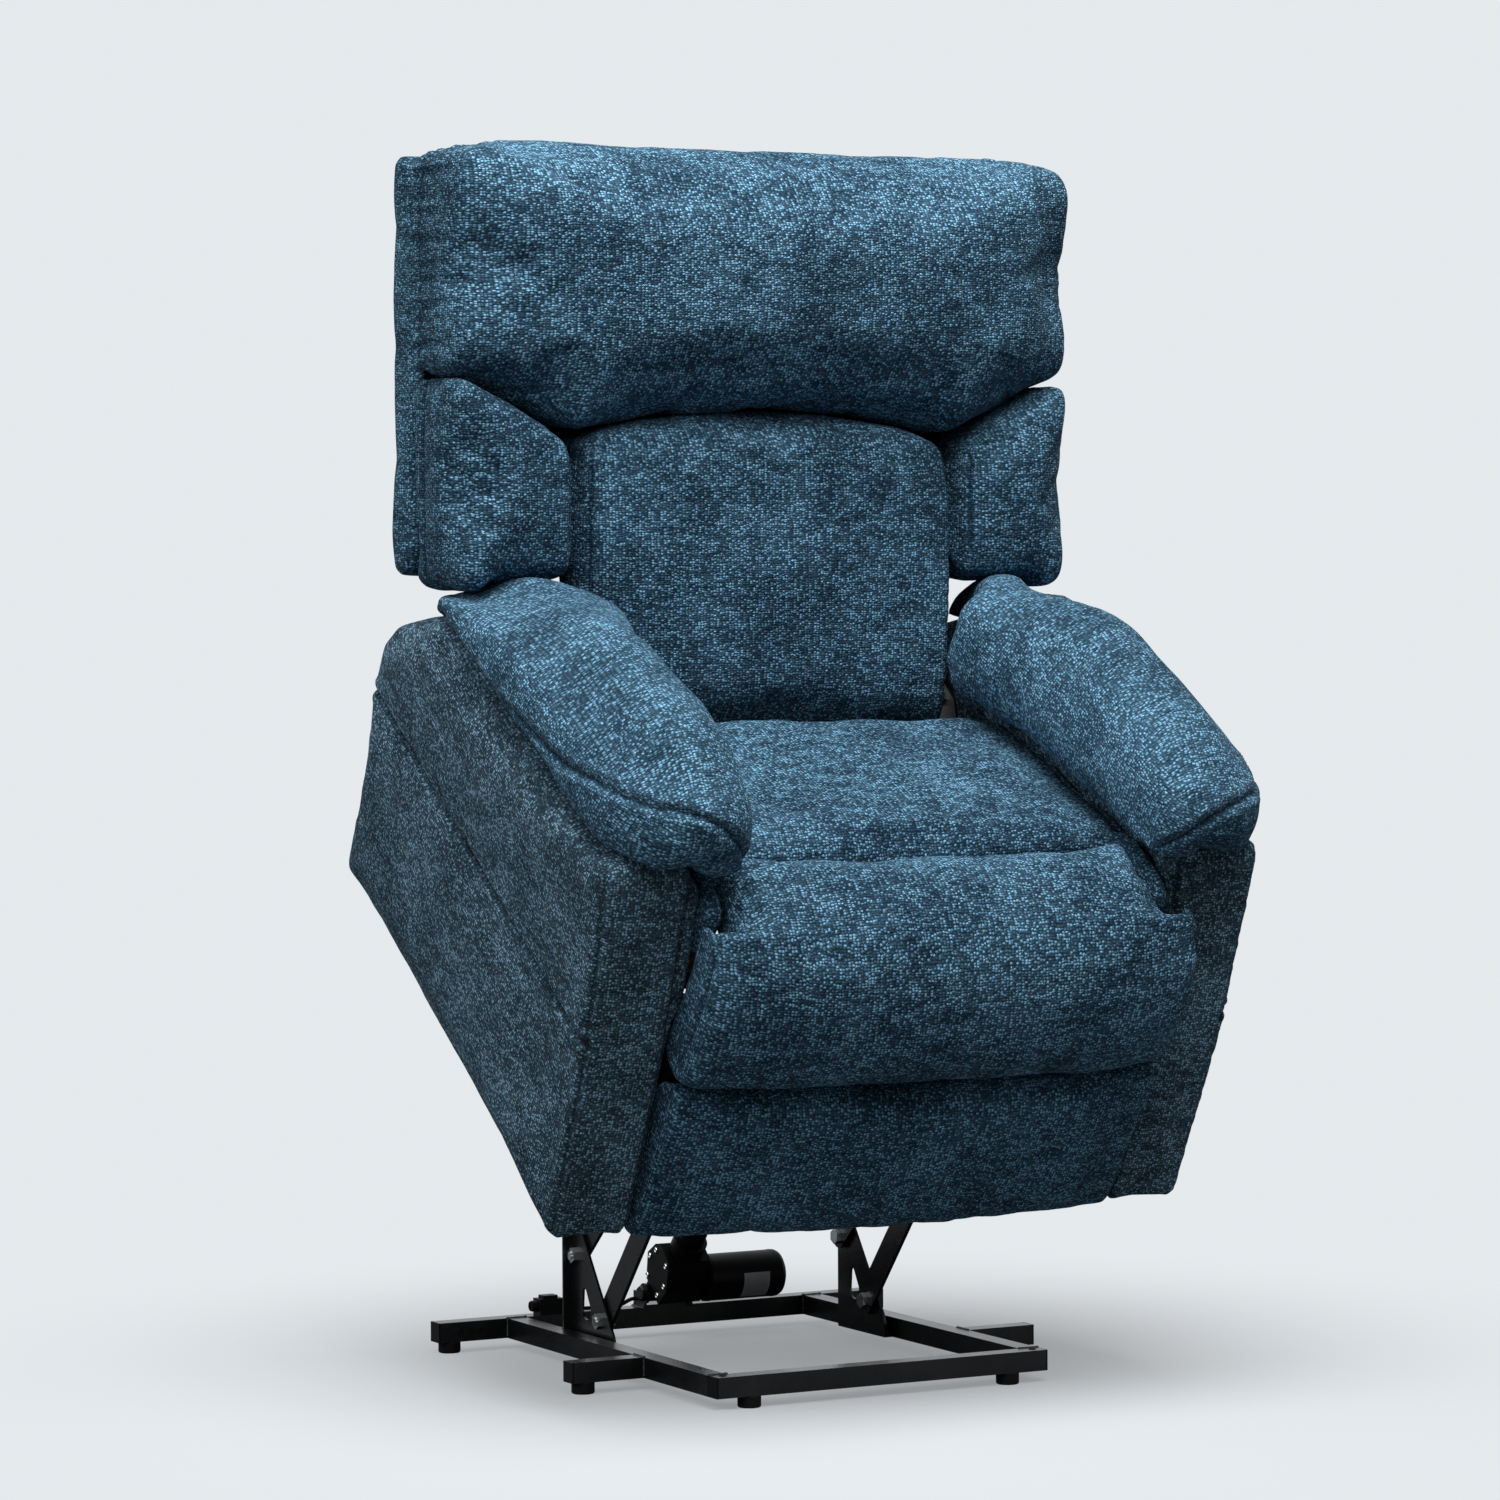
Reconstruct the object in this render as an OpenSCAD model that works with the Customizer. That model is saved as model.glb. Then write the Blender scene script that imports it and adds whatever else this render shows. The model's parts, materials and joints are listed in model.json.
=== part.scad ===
// Lift recliner chair, shown lifted: steel base, four-bar lift, powered seat unit,
// reclining back and folding footrest. Millimetres, +Z up, the chair faces -Y.
// "Left" and "right" are as seen by someone facing the front of the chair.

/* [Base frame] */
// Side of the square base tube
tube = 25; // [22:1:28]
// Wall of the square tube
tube_wall = 1.5; // [1:0.5:2.5]
// Overall width of the front cross tube
front_w = 450; // [430:5:480]
// Overall width over the outriggers and the rear cross tube
stance_w = 640; // [600:10:700]
// Depth of the base, front face to rear face
base_depth = 595; // [560:5:640]
// Front face of the base, from the origin
base_front = -193; // [-210:1:-180]
// Front outriggers, behind the front face of the base
outrigger_back = 189; // [150:5:220]
// Diameter of the rubber feet
foot_d = 28; // [22:1:34]
// Height of the rubber feet
foot_h = 14; // [10:1:20]
// Front feet, in from the ends of the front tube
foot_in_front = 49; // [30:1:80]
// Outrigger feet, in from the ends
foot_in = 20; // [18:1:30]

/* [Lift linkage] */
// Tilt of the seat unit when lifted, degrees
lift_tilt = 34.5; // [30:0.5:38]
// Thickness of the upright plates
upright_t = 3; // [2.5:0.5:4]
// Lower pivot, behind the front face of the base
base_low_back = 374; // [365:1:385]
// Lower pivot on the base, Z
base_low_z = 57; // [56:1:65]
// Upper pivot, behind the front face of the base
base_up_back = 442; // [435:1:450]
// Upper pivot on the base, Z
base_up_z = 131; // [125:1:140]
// Thickness of the lift links
link_t = 5; // [4:0.5:6]
// Width of the lower links
low_link_w = 36; // [32:1:40]
// Width of the upper links
up_link_w = 30; // [26:1:32]
// Diameter of the pivot bolts
bolt_d = 10; // [8:1:12]
// Diameter of the torque tube that joins the lower links
torque_d = 25; // [20:1:28]

/* [Seat unit] */
// Front bottom corner of the arms when lifted, Y
seat_y = -167; // [-180:1:-155]
// Front bottom corner of the arms when lifted, Z
seat_z = 203; // [195:1:215]
// Half the width over the arms
arm_out = 430; // [425:5:450]
// Half the width between the arms
arm_in = 325; // [318:1:332]
// Length of an arm along its bottom edge
arm_len = 722; // [700:2:740]
// Height of an arm at its front, under the pad
arm_h = 464; // [455:1:475]
// Set-back of the arm's front edge at the top
arm_lean = 105; // [95:1:112]
// How far an arm pad overhangs the seat
pad_overhang = 62; // [40:2:64]
// Thickness of an arm pad
pad_thick = 105; // [85:5:115]
// Clearance between the seat cushion and each arm
seat_side_gap = 8; // [5:1:16]
// Front of the seat cushion
seat_front = 164; // [162:1:175]
// Back of the seat cushion
seat_back = 518; // [490:1:522]
// Height of the seat's front edge
seat_top = 444; // [425:1:450]
// Drop of the seat from front to back
seat_drop = 62; // [50:1:80]

/* [Back] */
// Lean of the back from the seat unit's vertical, degrees
back_lean = 33.5; // [30:0.5:36]
// Recline pivot on the seat unit, Y
recline_y = 620; // [612:1:628]
// Recline pivot on the seat unit, Z
recline_z = 320; // [314:1:326]
// Half the width of the back cushions
back_half_w = 418; // [405:1:425]
// Half the width of the lumbar panel
lumbar_half_w = 262; // [254:1:268]
// Top of the back above the recline pivot
back_top = 672; // [640:4:700]
// Lower ends of the wings above the recline pivot
wing_low = 148; // [144:1:160]

/* [Footrest] */
// Clearance between the footrest pads and each arm
leg_side_gap = 3; // [2:1:8]
// Thickness of the footrest board
board_t = 12; // [9:1:15]
// Height of the closed footrest board
board_h = 294; // [270:2:298]
// Front upper pad: lower edge
pad_split = 224; // [205:2:230]

/* [Lift actuator] */
// Diameter of the lift motor
motor_d = 60; // [54:1:62]
// Length of the motor can
motor_len = 109; // [95:1:120]
// Diameter of the guide tube
guide_d = 34; // [30:1:38]
// Diameter of the actuator rod
rod_d = 20; // [16:1:24]

/* [Hidden] */

$fn = 48;
seat_gap = 0.3;        // soft pieces stand this far off what carries them
pin_play = 0.05;       // radial play of a pivot pin in its bore

steel = [0.09, 0.09, 0.1];
zinc = [0.75, 0.76, 0.78];
fabric = [0.16, 0.27, 0.38];
timber = [0.72, 0.56, 0.36];
dark = [0.05, 0.05, 0.06];

tube_top = foot_h + tube;
base_low_y = base_front + base_low_back;
base_up_y = base_front + base_up_back;
rear_y = base_front + base_depth - tube;
cap_t = 2;
rail_in = front_w / 2 - tube;            // inner face of the side rails

// planes of the lift linkage, distances from the middle
upright_x = rail_in - 11.5;              // inner face of the upright plates
link_x = upright_x - 1.5 - link_t;
bracket_t = 5;
bracket_x = link_x - 2 - bracket_t;
bolt_head_h = 6.5;
bolt_af = 17;

// seat-unit pivots in the seat unit's own (y, z)
seat_low = [171, 8];
seat_up = [213, 47];
rod_pin = [306, 41];
base_low = [base_low_y, base_low_z];
base_up = [base_up_y, base_up_z];

function turn(p, a) = [p[0] * cos(a) - p[1] * sin(a), p[0] * sin(a) + p[1] * cos(a)];
function lifted(p) = [seat_y, seat_z] + turn(p, lift_tilt);
function heading(p, q) = atan2(q[1] - p[1], q[0] - p[0]);
function mid(p, q, t) = p + (q - p) * t;

low_end = lifted(seat_low);
up_end = lifted(seat_up);
rod_end = lifted(rod_pin);
clevis_pin = [rear_y + tube / 2 - 17.5, tube_top + 19];
rod_dir = heading(clevis_pin, rod_end);
rod_reach = norm(rod_end - clevis_pin);
torque_at = mid(low_end, base_low, 110 / norm(base_low - low_end));

recline_at = [recline_y, recline_z];
echo(lower_end = low_end, upper_end = up_end, rod_end = rod_end, clevis_pin = clevis_pin,
    recline = lifted(recline_at), rod_dir = rod_dir, rod_reach = rod_reach);

// ---------- helpers ----------
module on_side(s) { if (s < 0) mirror([1, 0, 0]) children(); else children(); }

// Extrudes a (y, z) outline along X, from x over t
module plate(x, t) {
    translate([x, 0, 0]) rotate([90, 0, 90]) linear_extrude(t) children();
}

// A cylinder along X
module x_cyl(p, x, len, d) {
    translate([x, p[0], p[1]]) rotate([0, 90, 0]) cylinder(h = len, d = d);
}

module x_hex(p, x, len, af) {
    translate([x, p[0], p[1]]) rotate([0, 90, 0]) cylinder(h = len, d = af / cos(30), $fn = 6);
}

// A flat bar with slightly wider round ends and a bore at each end
module bar(p, q, w, bore_p, bore_q) {
    neck = 0.94 * w;
    difference() {
        union() {
            translate(p) circle(d = w);
            translate(q) circle(d = w);
            translate(p) rotate(heading(p, q)) translate([0, -neck / 2]) square([norm(q - p), neck]);
        }
        translate(p) circle(d = bore_p);
        translate(q) circle(d = bore_q);
    }
}

module on_seat() { translate([0, seat_y, seat_z]) rotate([lift_tilt, 0, 0]) children(); }

module on_back() {
    on_seat() translate([0, recline_y, recline_z]) rotate([-back_lean, 0, 0]) children();
}

module square_tube_x(x0, x1, y, z) {
    difference() {
        translate([x0, y, z]) cube([x1 - x0, tube, tube]);
        translate([x0 - 1, y + tube_wall, z + tube_wall])
            cube([x1 - x0 + 2, tube - 2 * tube_wall, tube - 2 * tube_wall]);
    }
}

// Pivot bolt along X: head at the inner end, nut at the outer end
module pivot_bolt(p, x_head, x_nut) {
    x_hex(p, x_head - bolt_head_h, bolt_head_h, bolt_af);
    x_cyl(p, x_head - 0.5, x_nut - x_head + 9, bolt_d);
    x_hex(p, x_nut, 7, bolt_af);
}

// Closed skin through rings that all have the same number of points
module skin(rings) {
    n = len(rings[0]);
    m = len(rings);
    function centre(r) = [for (k = [0:2]) (min([for (q = r) q[k]]) + max([for (q = r) q[k]])) / 2];
    points = concat([for (r = rings) each r], [centre(rings[0]), centre(rings[m - 1])]);
    walls = [for (i = [0:m - 2], j = [0:n - 1]) let (
        a = i * n + j, b = i * n + (j + 1) % n, c = a + n, d = b + n) each [[a, c, b], [b, c, d]]];
    ends = [for (j = [0:n - 1]) each [[m * n, j, (j + 1) % n],
        [m * n + 1, (m - 1) * n + (j + 1) % n, (m - 1) * n + j]]];
    polyhedron(points, concat(walls, ends), convexity = 6);
}

function signed(v, e) = sign(v) * pow(abs(v), e);
// Rounded section: n points, half sizes a and b, squareness e (2 is an ellipse)
function section(n, a, b, e) =
    [for (j = [0:n - 1]) let (t = 360 * j / n) [a * signed(cos(t), 2 / e), b * signed(sin(t), 2 / e)]];
// Height of a crowned edge at u, from -1 to 1: full in the middle, closing at the ends
function crown(u, e) = pow(max(0, 1 - pow(abs(u), e)), 1 / e);
// Stations from -1 to 1, closer together near the ends
function stations(n) = [for (i = [0:n]) -cos(180 * i / n)];

// A cushion lofted along X with one flat face: low, high, front and back are lists, one value a
// station; side is 1 for a flat back and -1 for a flat front
module x_cushion(x_mid, half_w, low, high, front, back, e, n, m, side) {
    us = stations(m);
    skin([for (i = [0:m]) let (
        u = us[i] * 0.996, c = crown(u, e), deep = (back[i] - front[i]) * c,
        ym = side > 0 ? back[i] - deep / 2 : front[i] + deep / 2,
        zm = (low[i] + high[i]) / 2, hz = (high[i] - low[i]) / 2 - 26 * (1 - c))
        [for (q = section(n, deep / 2, hz, 4.2))
            [x_mid + half_w * u, ym + q[0], zm + q[1]]]]);
}

// ---------- base ----------
module front_cross_tube() {
    color(steel)
        square_tube_x(-front_w / 2 + cap_t, front_w / 2 - cap_t, base_front, foot_h);
}

module rear_cross_tube() {
    color(steel) square_tube_x(-stance_w / 2 + cap_t, stance_w / 2 - cap_t, rear_y, foot_h);
}

module side_rail(s) {
    color(steel) on_side(s) difference() {
        translate([rail_in, base_front + tube, foot_h])
            cube([tube, rear_y - base_front - tube, tube]);
        translate([rail_in + tube_wall, base_front, foot_h + tube_wall])
            cube([tube - 2 * tube_wall, base_depth, tube - 2 * tube_wall]);
    }
}
module side_rail_left() { side_rail(-1); }
module side_rail_right() { side_rail(1); }

module outrigger(s) {
    color(steel) on_side(s)
        square_tube_x(front_w / 2, stance_w / 2 - cap_t, base_front + outrigger_back, foot_h);
}
module outrigger_left() { outrigger(-1); }
module outrigger_right() { outrigger(1); }

module end_cap(x, y) {
    inner = tube - 2 * tube_wall - 0.2;
    translate([x - cap_t, y, foot_h]) cube([cap_t, tube, tube]);
    translate([x - cap_t - 12, y + (tube - inner) / 2, foot_h + (tube - inner) / 2])
        cube([12, inner, inner]);
}

module tube_end_caps() {
    color(dark) for (s = [-1, 1]) on_side(s) {
        end_cap(front_w / 2, base_front);
        end_cap(stance_w / 2, rear_y);
        end_cap(stance_w / 2, base_front + outrigger_back);
    }
}

module foot(x, y) {
    translate([x, y, 0]) rotate_extrude()
        polygon([[0, 0], [foot_d / 2 - 1.5, 0], [foot_d / 2, 1.5], [foot_d / 2, foot_h - 1],
            [foot_d / 2 - 1, foot_h], [0, foot_h]]);
}

module rubber_feet() {
    color(dark) for (s = [-1, 1]) {
        foot(s * (front_w / 2 - foot_in_front), base_front + tube / 2);
        foot(s * (stance_w / 2 - foot_in), base_front + outrigger_back + tube / 2);
        foot(s * (stance_w / 2 - foot_in), rear_y + tube / 2);
    }
}

upright_rear = base_up_y + 13;
upright_top = base_up_z + 30;
flange_w = 12;

module lift_upright(s) {
    toe = base_low_y - 40;
    color(steel) on_side(s) {
        plate(upright_x, upright_t) difference() {
            polygon([[toe, foot_h], [upright_rear, foot_h], [upright_rear, upright_top],
                [base_up_y - 18, upright_top], [toe + 4, tube_top + 3], [toe, tube_top - 8]]);
            translate(base_low) circle(d = bolt_d + 2 * pin_play);
            translate(base_up) circle(d = bolt_d + 2 * pin_play);
            hull() {
                translate(base_low + [38, 9]) circle(d = 24);
                translate(base_low + [43, 31]) circle(d = 10);
            }
        }
        // turned rear flange above the rail, and the foot web welded to the rail
        translate([upright_x + upright_t, upright_rear - upright_t, tube_top])
            cube([flange_w, upright_t, upright_top - tube_top]);
        translate([upright_x + upright_t, toe, foot_h])
            cube([rail_in - upright_x - upright_t, upright_rear - toe, upright_t]);
    }
}
module lift_upright_left() { lift_upright(-1); }
module lift_upright_right() { lift_upright(1); }

module base_pivot_bolts() {
    color(zinc) for (s = [-1, 1]) on_side(s) for (p = [base_low, base_up])
        pivot_bolt(p, link_x - 0.2, upright_x + upright_t);
}

gear_w = 60;
clevis_gap = gear_w + 1.6;
clevis_t = 4;

module actuator_clevis() {
    color(steel) {
        for (s = [-1, 1]) on_side(s) plate(clevis_gap / 2, clevis_t) difference() {
            union() {
                translate(clevis_pin) circle(d = 26);
                translate([clevis_pin[0] - 1, tube_top]) square([30, 20]);
                translate([clevis_pin[0] + 4, tube_top]) square([24, 8]);
            }
            translate(clevis_pin) circle(d = bolt_d + 2 * pin_play);
        }
        translate([-clevis_gap / 2 - clevis_t, rear_y, tube_top])
            cube([clevis_gap + 2 * clevis_t, tube, 3]);
    }
    color(zinc) {
        x_hex(clevis_pin, -clevis_gap / 2 - clevis_t - 6, 6, bolt_af);
        x_cyl(clevis_pin, -clevis_gap / 2 - clevis_t - 1, clevis_gap + 2 * clevis_t + 8, bolt_d);
        x_hex(clevis_pin, clevis_gap / 2 + clevis_t, 7, bolt_af);
    }
}

// Two-pole connector on the rear tube, and the lead from it to the gearbox
lead_d = 5;
lead_path = [[-144.7, 12, 11], [-138, 12, 11], [-128, 12, 8], [-118, 12, 4], [-104, 12, 3],
    [-86, 12, 3], [-70, 12, 3], [-58, 12, 4.5], [-49, 12, 8.5], [-42, 12, 10.6],
    [-35.1, 12, 10.6]];

module power_connector() {
    color(dark) {
        translate([-178, rear_y + 2, tube_top]) cube([33, 21, 20]);
        translate([-172, rear_y + 5, tube_top + 20]) cube([20, 15, 4]);
    }
}

// Tube swept along a hand-chosen route
module swept(path, d, sides) {
    n = len(path);
    skin([for (i = [0:n - 1]) let (
        f = path[min(i + 1, n - 1)] - path[max(i - 1, 0)], t = f / norm(f),
        a = cross(t, [0, 0, 1]) / norm(cross(t, [0, 0, 1])), b = cross(t, a))
        [for (j = [0:sides - 1]) path[i] + (a * cos(360 * j / sides) + b * sin(360 * j / sides)) * d / 2]]);
}

module motor_lead() {
    color(dark) translate([0, rear_y, tube_top]) swept(lead_path, lead_d, 8);
}

// ---------- lift links ----------
module lower_link(s) {
    color(steel) on_side(s) plate(link_x, link_t)
        bar(base_low, low_end, low_link_w, bolt_d + 2 * pin_play, bolt_d + 2 * pin_play);
}
module lower_link_left() { lower_link(-1); }
module lower_link_right() { lower_link(1); }

module link_torque_tube() {
    color(steel) difference() {
        x_cyl(torque_at, -link_x, 2 * link_x, torque_d);
        x_cyl(torque_at, -link_x - 1, 2 * link_x + 2, torque_d - 2 * tube_wall);
    }
}

// The upper link carries its own stub bolt at the seat end
module upper_link(s) {
    on_side(s) {
        color(steel) plate(link_x, link_t)
            bar(base_up, up_end, up_link_w, bolt_d + 2 * pin_play, bolt_d - 1);
        color(zinc) {
            x_hex(up_end, link_x + link_t, bolt_head_h, bolt_af);
            x_cyl(up_end, link_x - 1.3, link_t + 1.3, bolt_d - 1);
        }
    }
}
module upper_link_left() { upper_link(-1); }
module upper_link_right() { upper_link(1); }

// ---------- lift actuator ----------
module on_actuator() {
    translate([0, clevis_pin[0], clevis_pin[1]]) rotate([rod_dir, 0, 0]) children();
}
// gearbox outline: along the actuator from its clevis pin, and across it
gear_outline = [[14, -14], [42, -33], [66, -25], [76, -16], [74, 16], [62, 24], [40, 35], [12, 30]];
motor_at = [41, 16];
guide_len = 300;

module lift_gearbox() {
    color(dark) on_actuator() difference() {
        union() {
            plate(-gear_w / 2, gear_w) {
                polygon(gear_outline);
                circle(d = 22);
                translate([0, -9]) square([30, 18]);
            }
        }
        x_cyl([0, 0], -40, 80, bolt_d + 2 * pin_play);
    }
}

module lift_motor() {
    color(dark) on_actuator() translate([gear_w / 2, motor_at[0], motor_at[1]])
        rotate([0, 90, 0]) rotate_extrude()
        polygon([[0, 0], [motor_d / 2, 0], [motor_d / 2, motor_len - 7],
            [motor_d / 2 - 2, motor_len - 3], [motor_d / 2 - 7, motor_len], [0, motor_len]]);
}

guide_start = 76;
module guide_tube() {
    color(dark) on_actuator() rotate([-90, 0, 0]) translate([0, 0, guide_start]) difference() {
        union() {
            cylinder(h = guide_len - guide_start, d = guide_d);
            cylinder(h = 22, d = guide_d + 10);
            translate([0, 0, guide_len - guide_start - 14]) cylinder(h = 14, d = guide_d + 5);
        }
        translate([0, 0, 6]) cylinder(h = guide_len, d = rod_d + 2 * pin_play);
    }
}

eye_w = 10;
module actuator_rod() {
    color(zinc) on_actuator() {
        rotate([-90, 0, 0]) translate([0, 0, guide_start + 140])
            cylinder(h = rod_reach - guide_start - 140 - 22, d = rod_d);
        plate(-eye_w / 2, eye_w) {
            translate([rod_reach, 0]) circle(d = 26);
            translate([rod_reach - 24, -9]) square([20, 18]);
        }
    }
}

// ---------- seat unit: steel ----------
cross_z = 130;
module lift_bracket(s) {
    color(steel) on_side(s) on_seat() plate(bracket_x, bracket_t) difference() {
        union() {
            translate(seat_low) circle(d = 36);
            polygon([seat_low + [-18, 0], seat_low + [6, -17], seat_up + [24, -14],
                [322, 66], [328, cross_z], [168, cross_z]]);
        }
        translate(seat_low) circle(d = bolt_d + 2 * pin_play);
        translate([262, 100]) circle(d = 34);
    }
}
module lift_bracket_left() { lift_bracket(-1); }
module lift_bracket_right() { lift_bracket(1); }

mech_t = 3;
mech_x = arm_in - 41;
cross_y = [176, 296];
module seat_cross_tubes() {
    color(steel) on_seat() for (y = cross_y) square_tube_x(-mech_x, mech_x, y, cross_z);
}

lug_t = 5;
lug_x = rod_d / 2 + 1.5;
act_tube_z = 80;
module actuator_cross_tube() {
    color(steel) on_seat() {
        square_tube_x(-bracket_x, bracket_x, rod_pin[0] - tube / 2, act_tube_z);
        for (s = [-1, 1]) on_side(s) {
            plate(lug_x, lug_t) union() {
                translate(rod_pin) circle(d = 28);
                translate([rod_pin[0] - 14, rod_pin[1]]) square([28, act_tube_z - rod_pin[1]]);
            }
            x_hex(rod_pin, lug_x + lug_t, 6, bolt_af);
        }
    }
}

module seat_pivot_bolts() {
    color(zinc) for (s = [-1, 1]) on_side(s) on_seat() {
        x_hex(seat_low, bracket_x - 7, 7, bolt_af);
        x_cyl(seat_low, bracket_x - 9, link_x + link_t - bracket_x + 9.4, bolt_d);
        x_hex(seat_low, link_x + link_t + 0.2, bolt_head_h, bolt_af);
        x_hex(seat_up, bracket_x - 7, 7, bolt_af);
        x_cyl(seat_up, bracket_x - 9, 9, bolt_d);
    }
}

// Footrest pivots in the seat unit's own (y, z), closed
foot_a = [170, 300];       // drive link on the mechanism plate
foot_a2 = [212, 288.4];    // guide link on the mechanism plate
foot_k = [302, 106];       // drive link to outer link
foot_m = [301.7, 168.2];   // drive link to tip link
foot_n = [351.5, 98.7];    // tail of the outer link, beside the guide link
foot_b = [70, 140];        // outer link on the footrest bracket
foot_b2 = [85, 215];       // tip link on the footrest bracket
foot_pin_d = 8;

module mechanism_plate(s) {
    color(steel) on_side(s) on_seat() plate(mech_x, mech_t) difference() {
        polygon([[140, 290], [150, 318], [252, 318], [280, 292], [318, 254], [500, 254],
            [588, 340], [640, 346], [652, 300], [585, 200], [500, 150], [330, 125],
            [168, 125], [152, 220]]);
        for (p = [foot_a, foot_a2]) translate(p) circle(d = foot_pin_d + 2 * pin_play);
        translate(recline_at) circle(d = bolt_d + 2 * pin_play);
        translate([340, 200]) circle(d = 60);
        translate([470, 205]) circle(d = 50);
    }
    // spacers that the arm panel is screwed to
    color(steel) on_side(s) on_seat() for (p = [[400, 170], [560, 240], [480, 160], [560, 305]])
        x_cyl(p, mech_x + mech_t, arm_in - mech_x - mech_t - seat_gap, 24);
}
module mechanism_plate_left() { mechanism_plate(-1); }
module mechanism_plate_right() { mechanism_plate(1); }

// ---------- seat unit: timber, springs, upholstery ----------
rail_low = 225;
side_rail_h = 34;
deck_z = rail_low + side_rail_h + 30;
module seat_side_rails() {
    color(timber) on_seat() for (s = [-1, 1]) on_side(s)
        translate([mech_x - 26, 180, rail_low]) cube([26, 330, side_rail_h]);
}

cross_rail_y = [177, 345, 480];
module seat_cross_rails() {
    color(timber) on_seat() for (y = cross_rail_y) {
        translate([-mech_x, y, rail_low + side_rail_h]) cube([2 * mech_x, 24, 30]);
    }
}

spring_d = 4;
module seat_springs() {
    pitch = 28;
    half = 22;
    color(zinc) on_seat() for (k = [-3:3]) let (x = k * 55)
        for (i = [0:9]) let (y = 190 + i * pitch, s = i % 2 == 0 ? 1 : -1) {
            translate([x - half, y, deck_z + spring_d / 2]) rotate([0, 90, 0])
                cylinder(h = 2 * half, d = spring_d, $fn = 16);
            translate([x + s * half, y, deck_z + spring_d / 2]) rotate([-90, 0, 0])
                cylinder(h = pitch, d = spring_d, $fn = 16);
        }
}

seat_half_w = arm_in - seat_side_gap;
fill_in = arm_in - 14;   // inner face of the padded strip inside each arm's front edge
// Stations across a cushion, mirrored about the middle, from a list that falls to zero
function both(list) = concat(-1 * list, [for (i = [len(list) - 2:-1:0]) list[i]]);

ear_front = 68;
ear_in = mech_x - 2;
ear_out = fill_in - 1.5;
ear_rows = [[ear_in, 16], [ear_in + 2, 7], [ear_in + 7, 2], [(ear_in + ear_out) / 2, 0],
    [ear_out - 6, 2], [ear_out - 1.5, 7], [ear_out, 16]];
module seat_cushion() {
    xs = both([seat_half_w, seat_half_w - 3, seat_half_w - 12, mech_x - 4, mech_x - 16, 200, 130, 65, 0]);
    color(fabric) on_seat() skin([for (x = xs) let (
        low = abs(x) > mech_x - 10 ? 324 : deck_z + spring_d + seat_gap,
        c = crown(x / (seat_half_w + 0.6), 9))
        [for (q = section(24, 1, 1, 5)) let (
            y = (seat_front + seat_back) / 2 + q[0] * (seat_back - seat_front) / 2,
            f = (y - seat_front) / (seat_back - seat_front),
            high = seat_top - seat_drop * f - 12 * pow(x / seat_half_w, 2) - 30 * (1 - c),
            z = low + (high - low) * (q[1] + 1) / 2,
            under = 14 * max(0, -q[0]) * min(1, max(0, (seat_top - 8 - z) / 34)))
            [x, y + under, z]]]);
    // ears that run forward beside the footrest pad
    color(fabric) for (s = [-1, 1]) on_side(s) on_seat() skin([for (r = ear_rows)
        [for (q = section(20, 1, 1, 3.6)) let (y0 = ear_front + r[1], y1 = seat_front + 40,
            high = seat_top - 4 - r[1])
            [r[0], (y0 + y1) / 2 + q[0] * (y1 - y0) / 2,
                (350 + high) / 2 + q[1] * (high - 350) / 2]]]);
}

arm_outline = [[0, 0], [42, 243], [arm_lean, arm_h], [640, arm_h - 20], [745, 358], [765, 320],
    [arm_len, 0]];
arm_r = 14;            // rounding of the arm's corners
arm_flare = 12;        // the arm is this much wider at its top
pad_out = 5;           // the pads overhang the arms outside

function unit(v) = v / norm(v);
// Points of a corner of radius r at p, between neighbours a and b
function corner(a, p, b, r, n) = let (
    u = unit(a - p), w = unit(b - p), half = acos(u * w) / 2,
    c = p + unit(u + w) * r / sin(half),
    s = heading(c, p + u * r / tan(half)), e = heading(c, p + w * r / tan(half)),
    d = (e - s + 540) % 360 - 180)
    [for (k = [0:n]) c + r * [cos(s + d * k / n), sin(s + d * k / n)]];
function rounded(list, r, n) = let (m = len(list)) [for (i = [0:m - 1])
    each corner(list[(i + m - 1) % m], list[i], list[(i + 1) % m], r, n)];
function inset(list, d) = let (
    lo = [min([for (q = list) q[0]]), min([for (q = list) q[1]])],
    hi = [max([for (q = list) q[0]]), max([for (q = list) q[1]])], c = (lo + hi) / 2)
    [for (q = list) [c[0] + (q[0] - c[0]) * (1 - 2 * d / (hi[0] - lo[0])),
        c[1] + (q[1] - c[1]) * (1 - 2 * d / (hi[1] - lo[1]))]];

module arm_panel(s) {
    wide = arm_out - arm_in;
    edge = rounded(arm_outline, arm_r, 3);
    rows = [[0, 8], [3, 2], [8, 0], [wide * 0.5, 0], [wide - 14, 0], [wide - 8, 2], [wide - 3, 6],
        [wide, 13]];
    color(fabric) on_side(s) on_seat() skin([for (k = [len(rows) - 1:-1:0]) let (r = rows[k])
        [for (q = inset(edge, r[1]))
        [arm_in + r[0] * (1 + arm_flare / wide * q[1] / arm_h), q[0], q[1]]]]);
    // padded strip that closes the slit between the arm and the footrest pad
    color(fabric) on_side(s) on_seat() plate(fill_in, arm_in - fill_in + 6)
        polygon([[66, 272], [104, 272], [118, 346], [136, 436], [104, 436], [82, 356], [70, 300]]);
}
module arm_panel_left() { arm_panel(-1); }
module arm_panel_right() { arm_panel(1); }

// Top of the arm at y
function arm_top(y) = y < arm_lean ? arm_h : y < 640 ? arm_h - 20 * (y - arm_lean) / (640 - arm_lean)
    : arm_h - 20 - 82 * (y - 640) / 101;
// Top of the seat cushion at y
function seat_at(y) = seat_top - seat_drop * (min(max(y, seat_front), seat_back) - seat_front)
    / (seat_back - seat_front);
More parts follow.
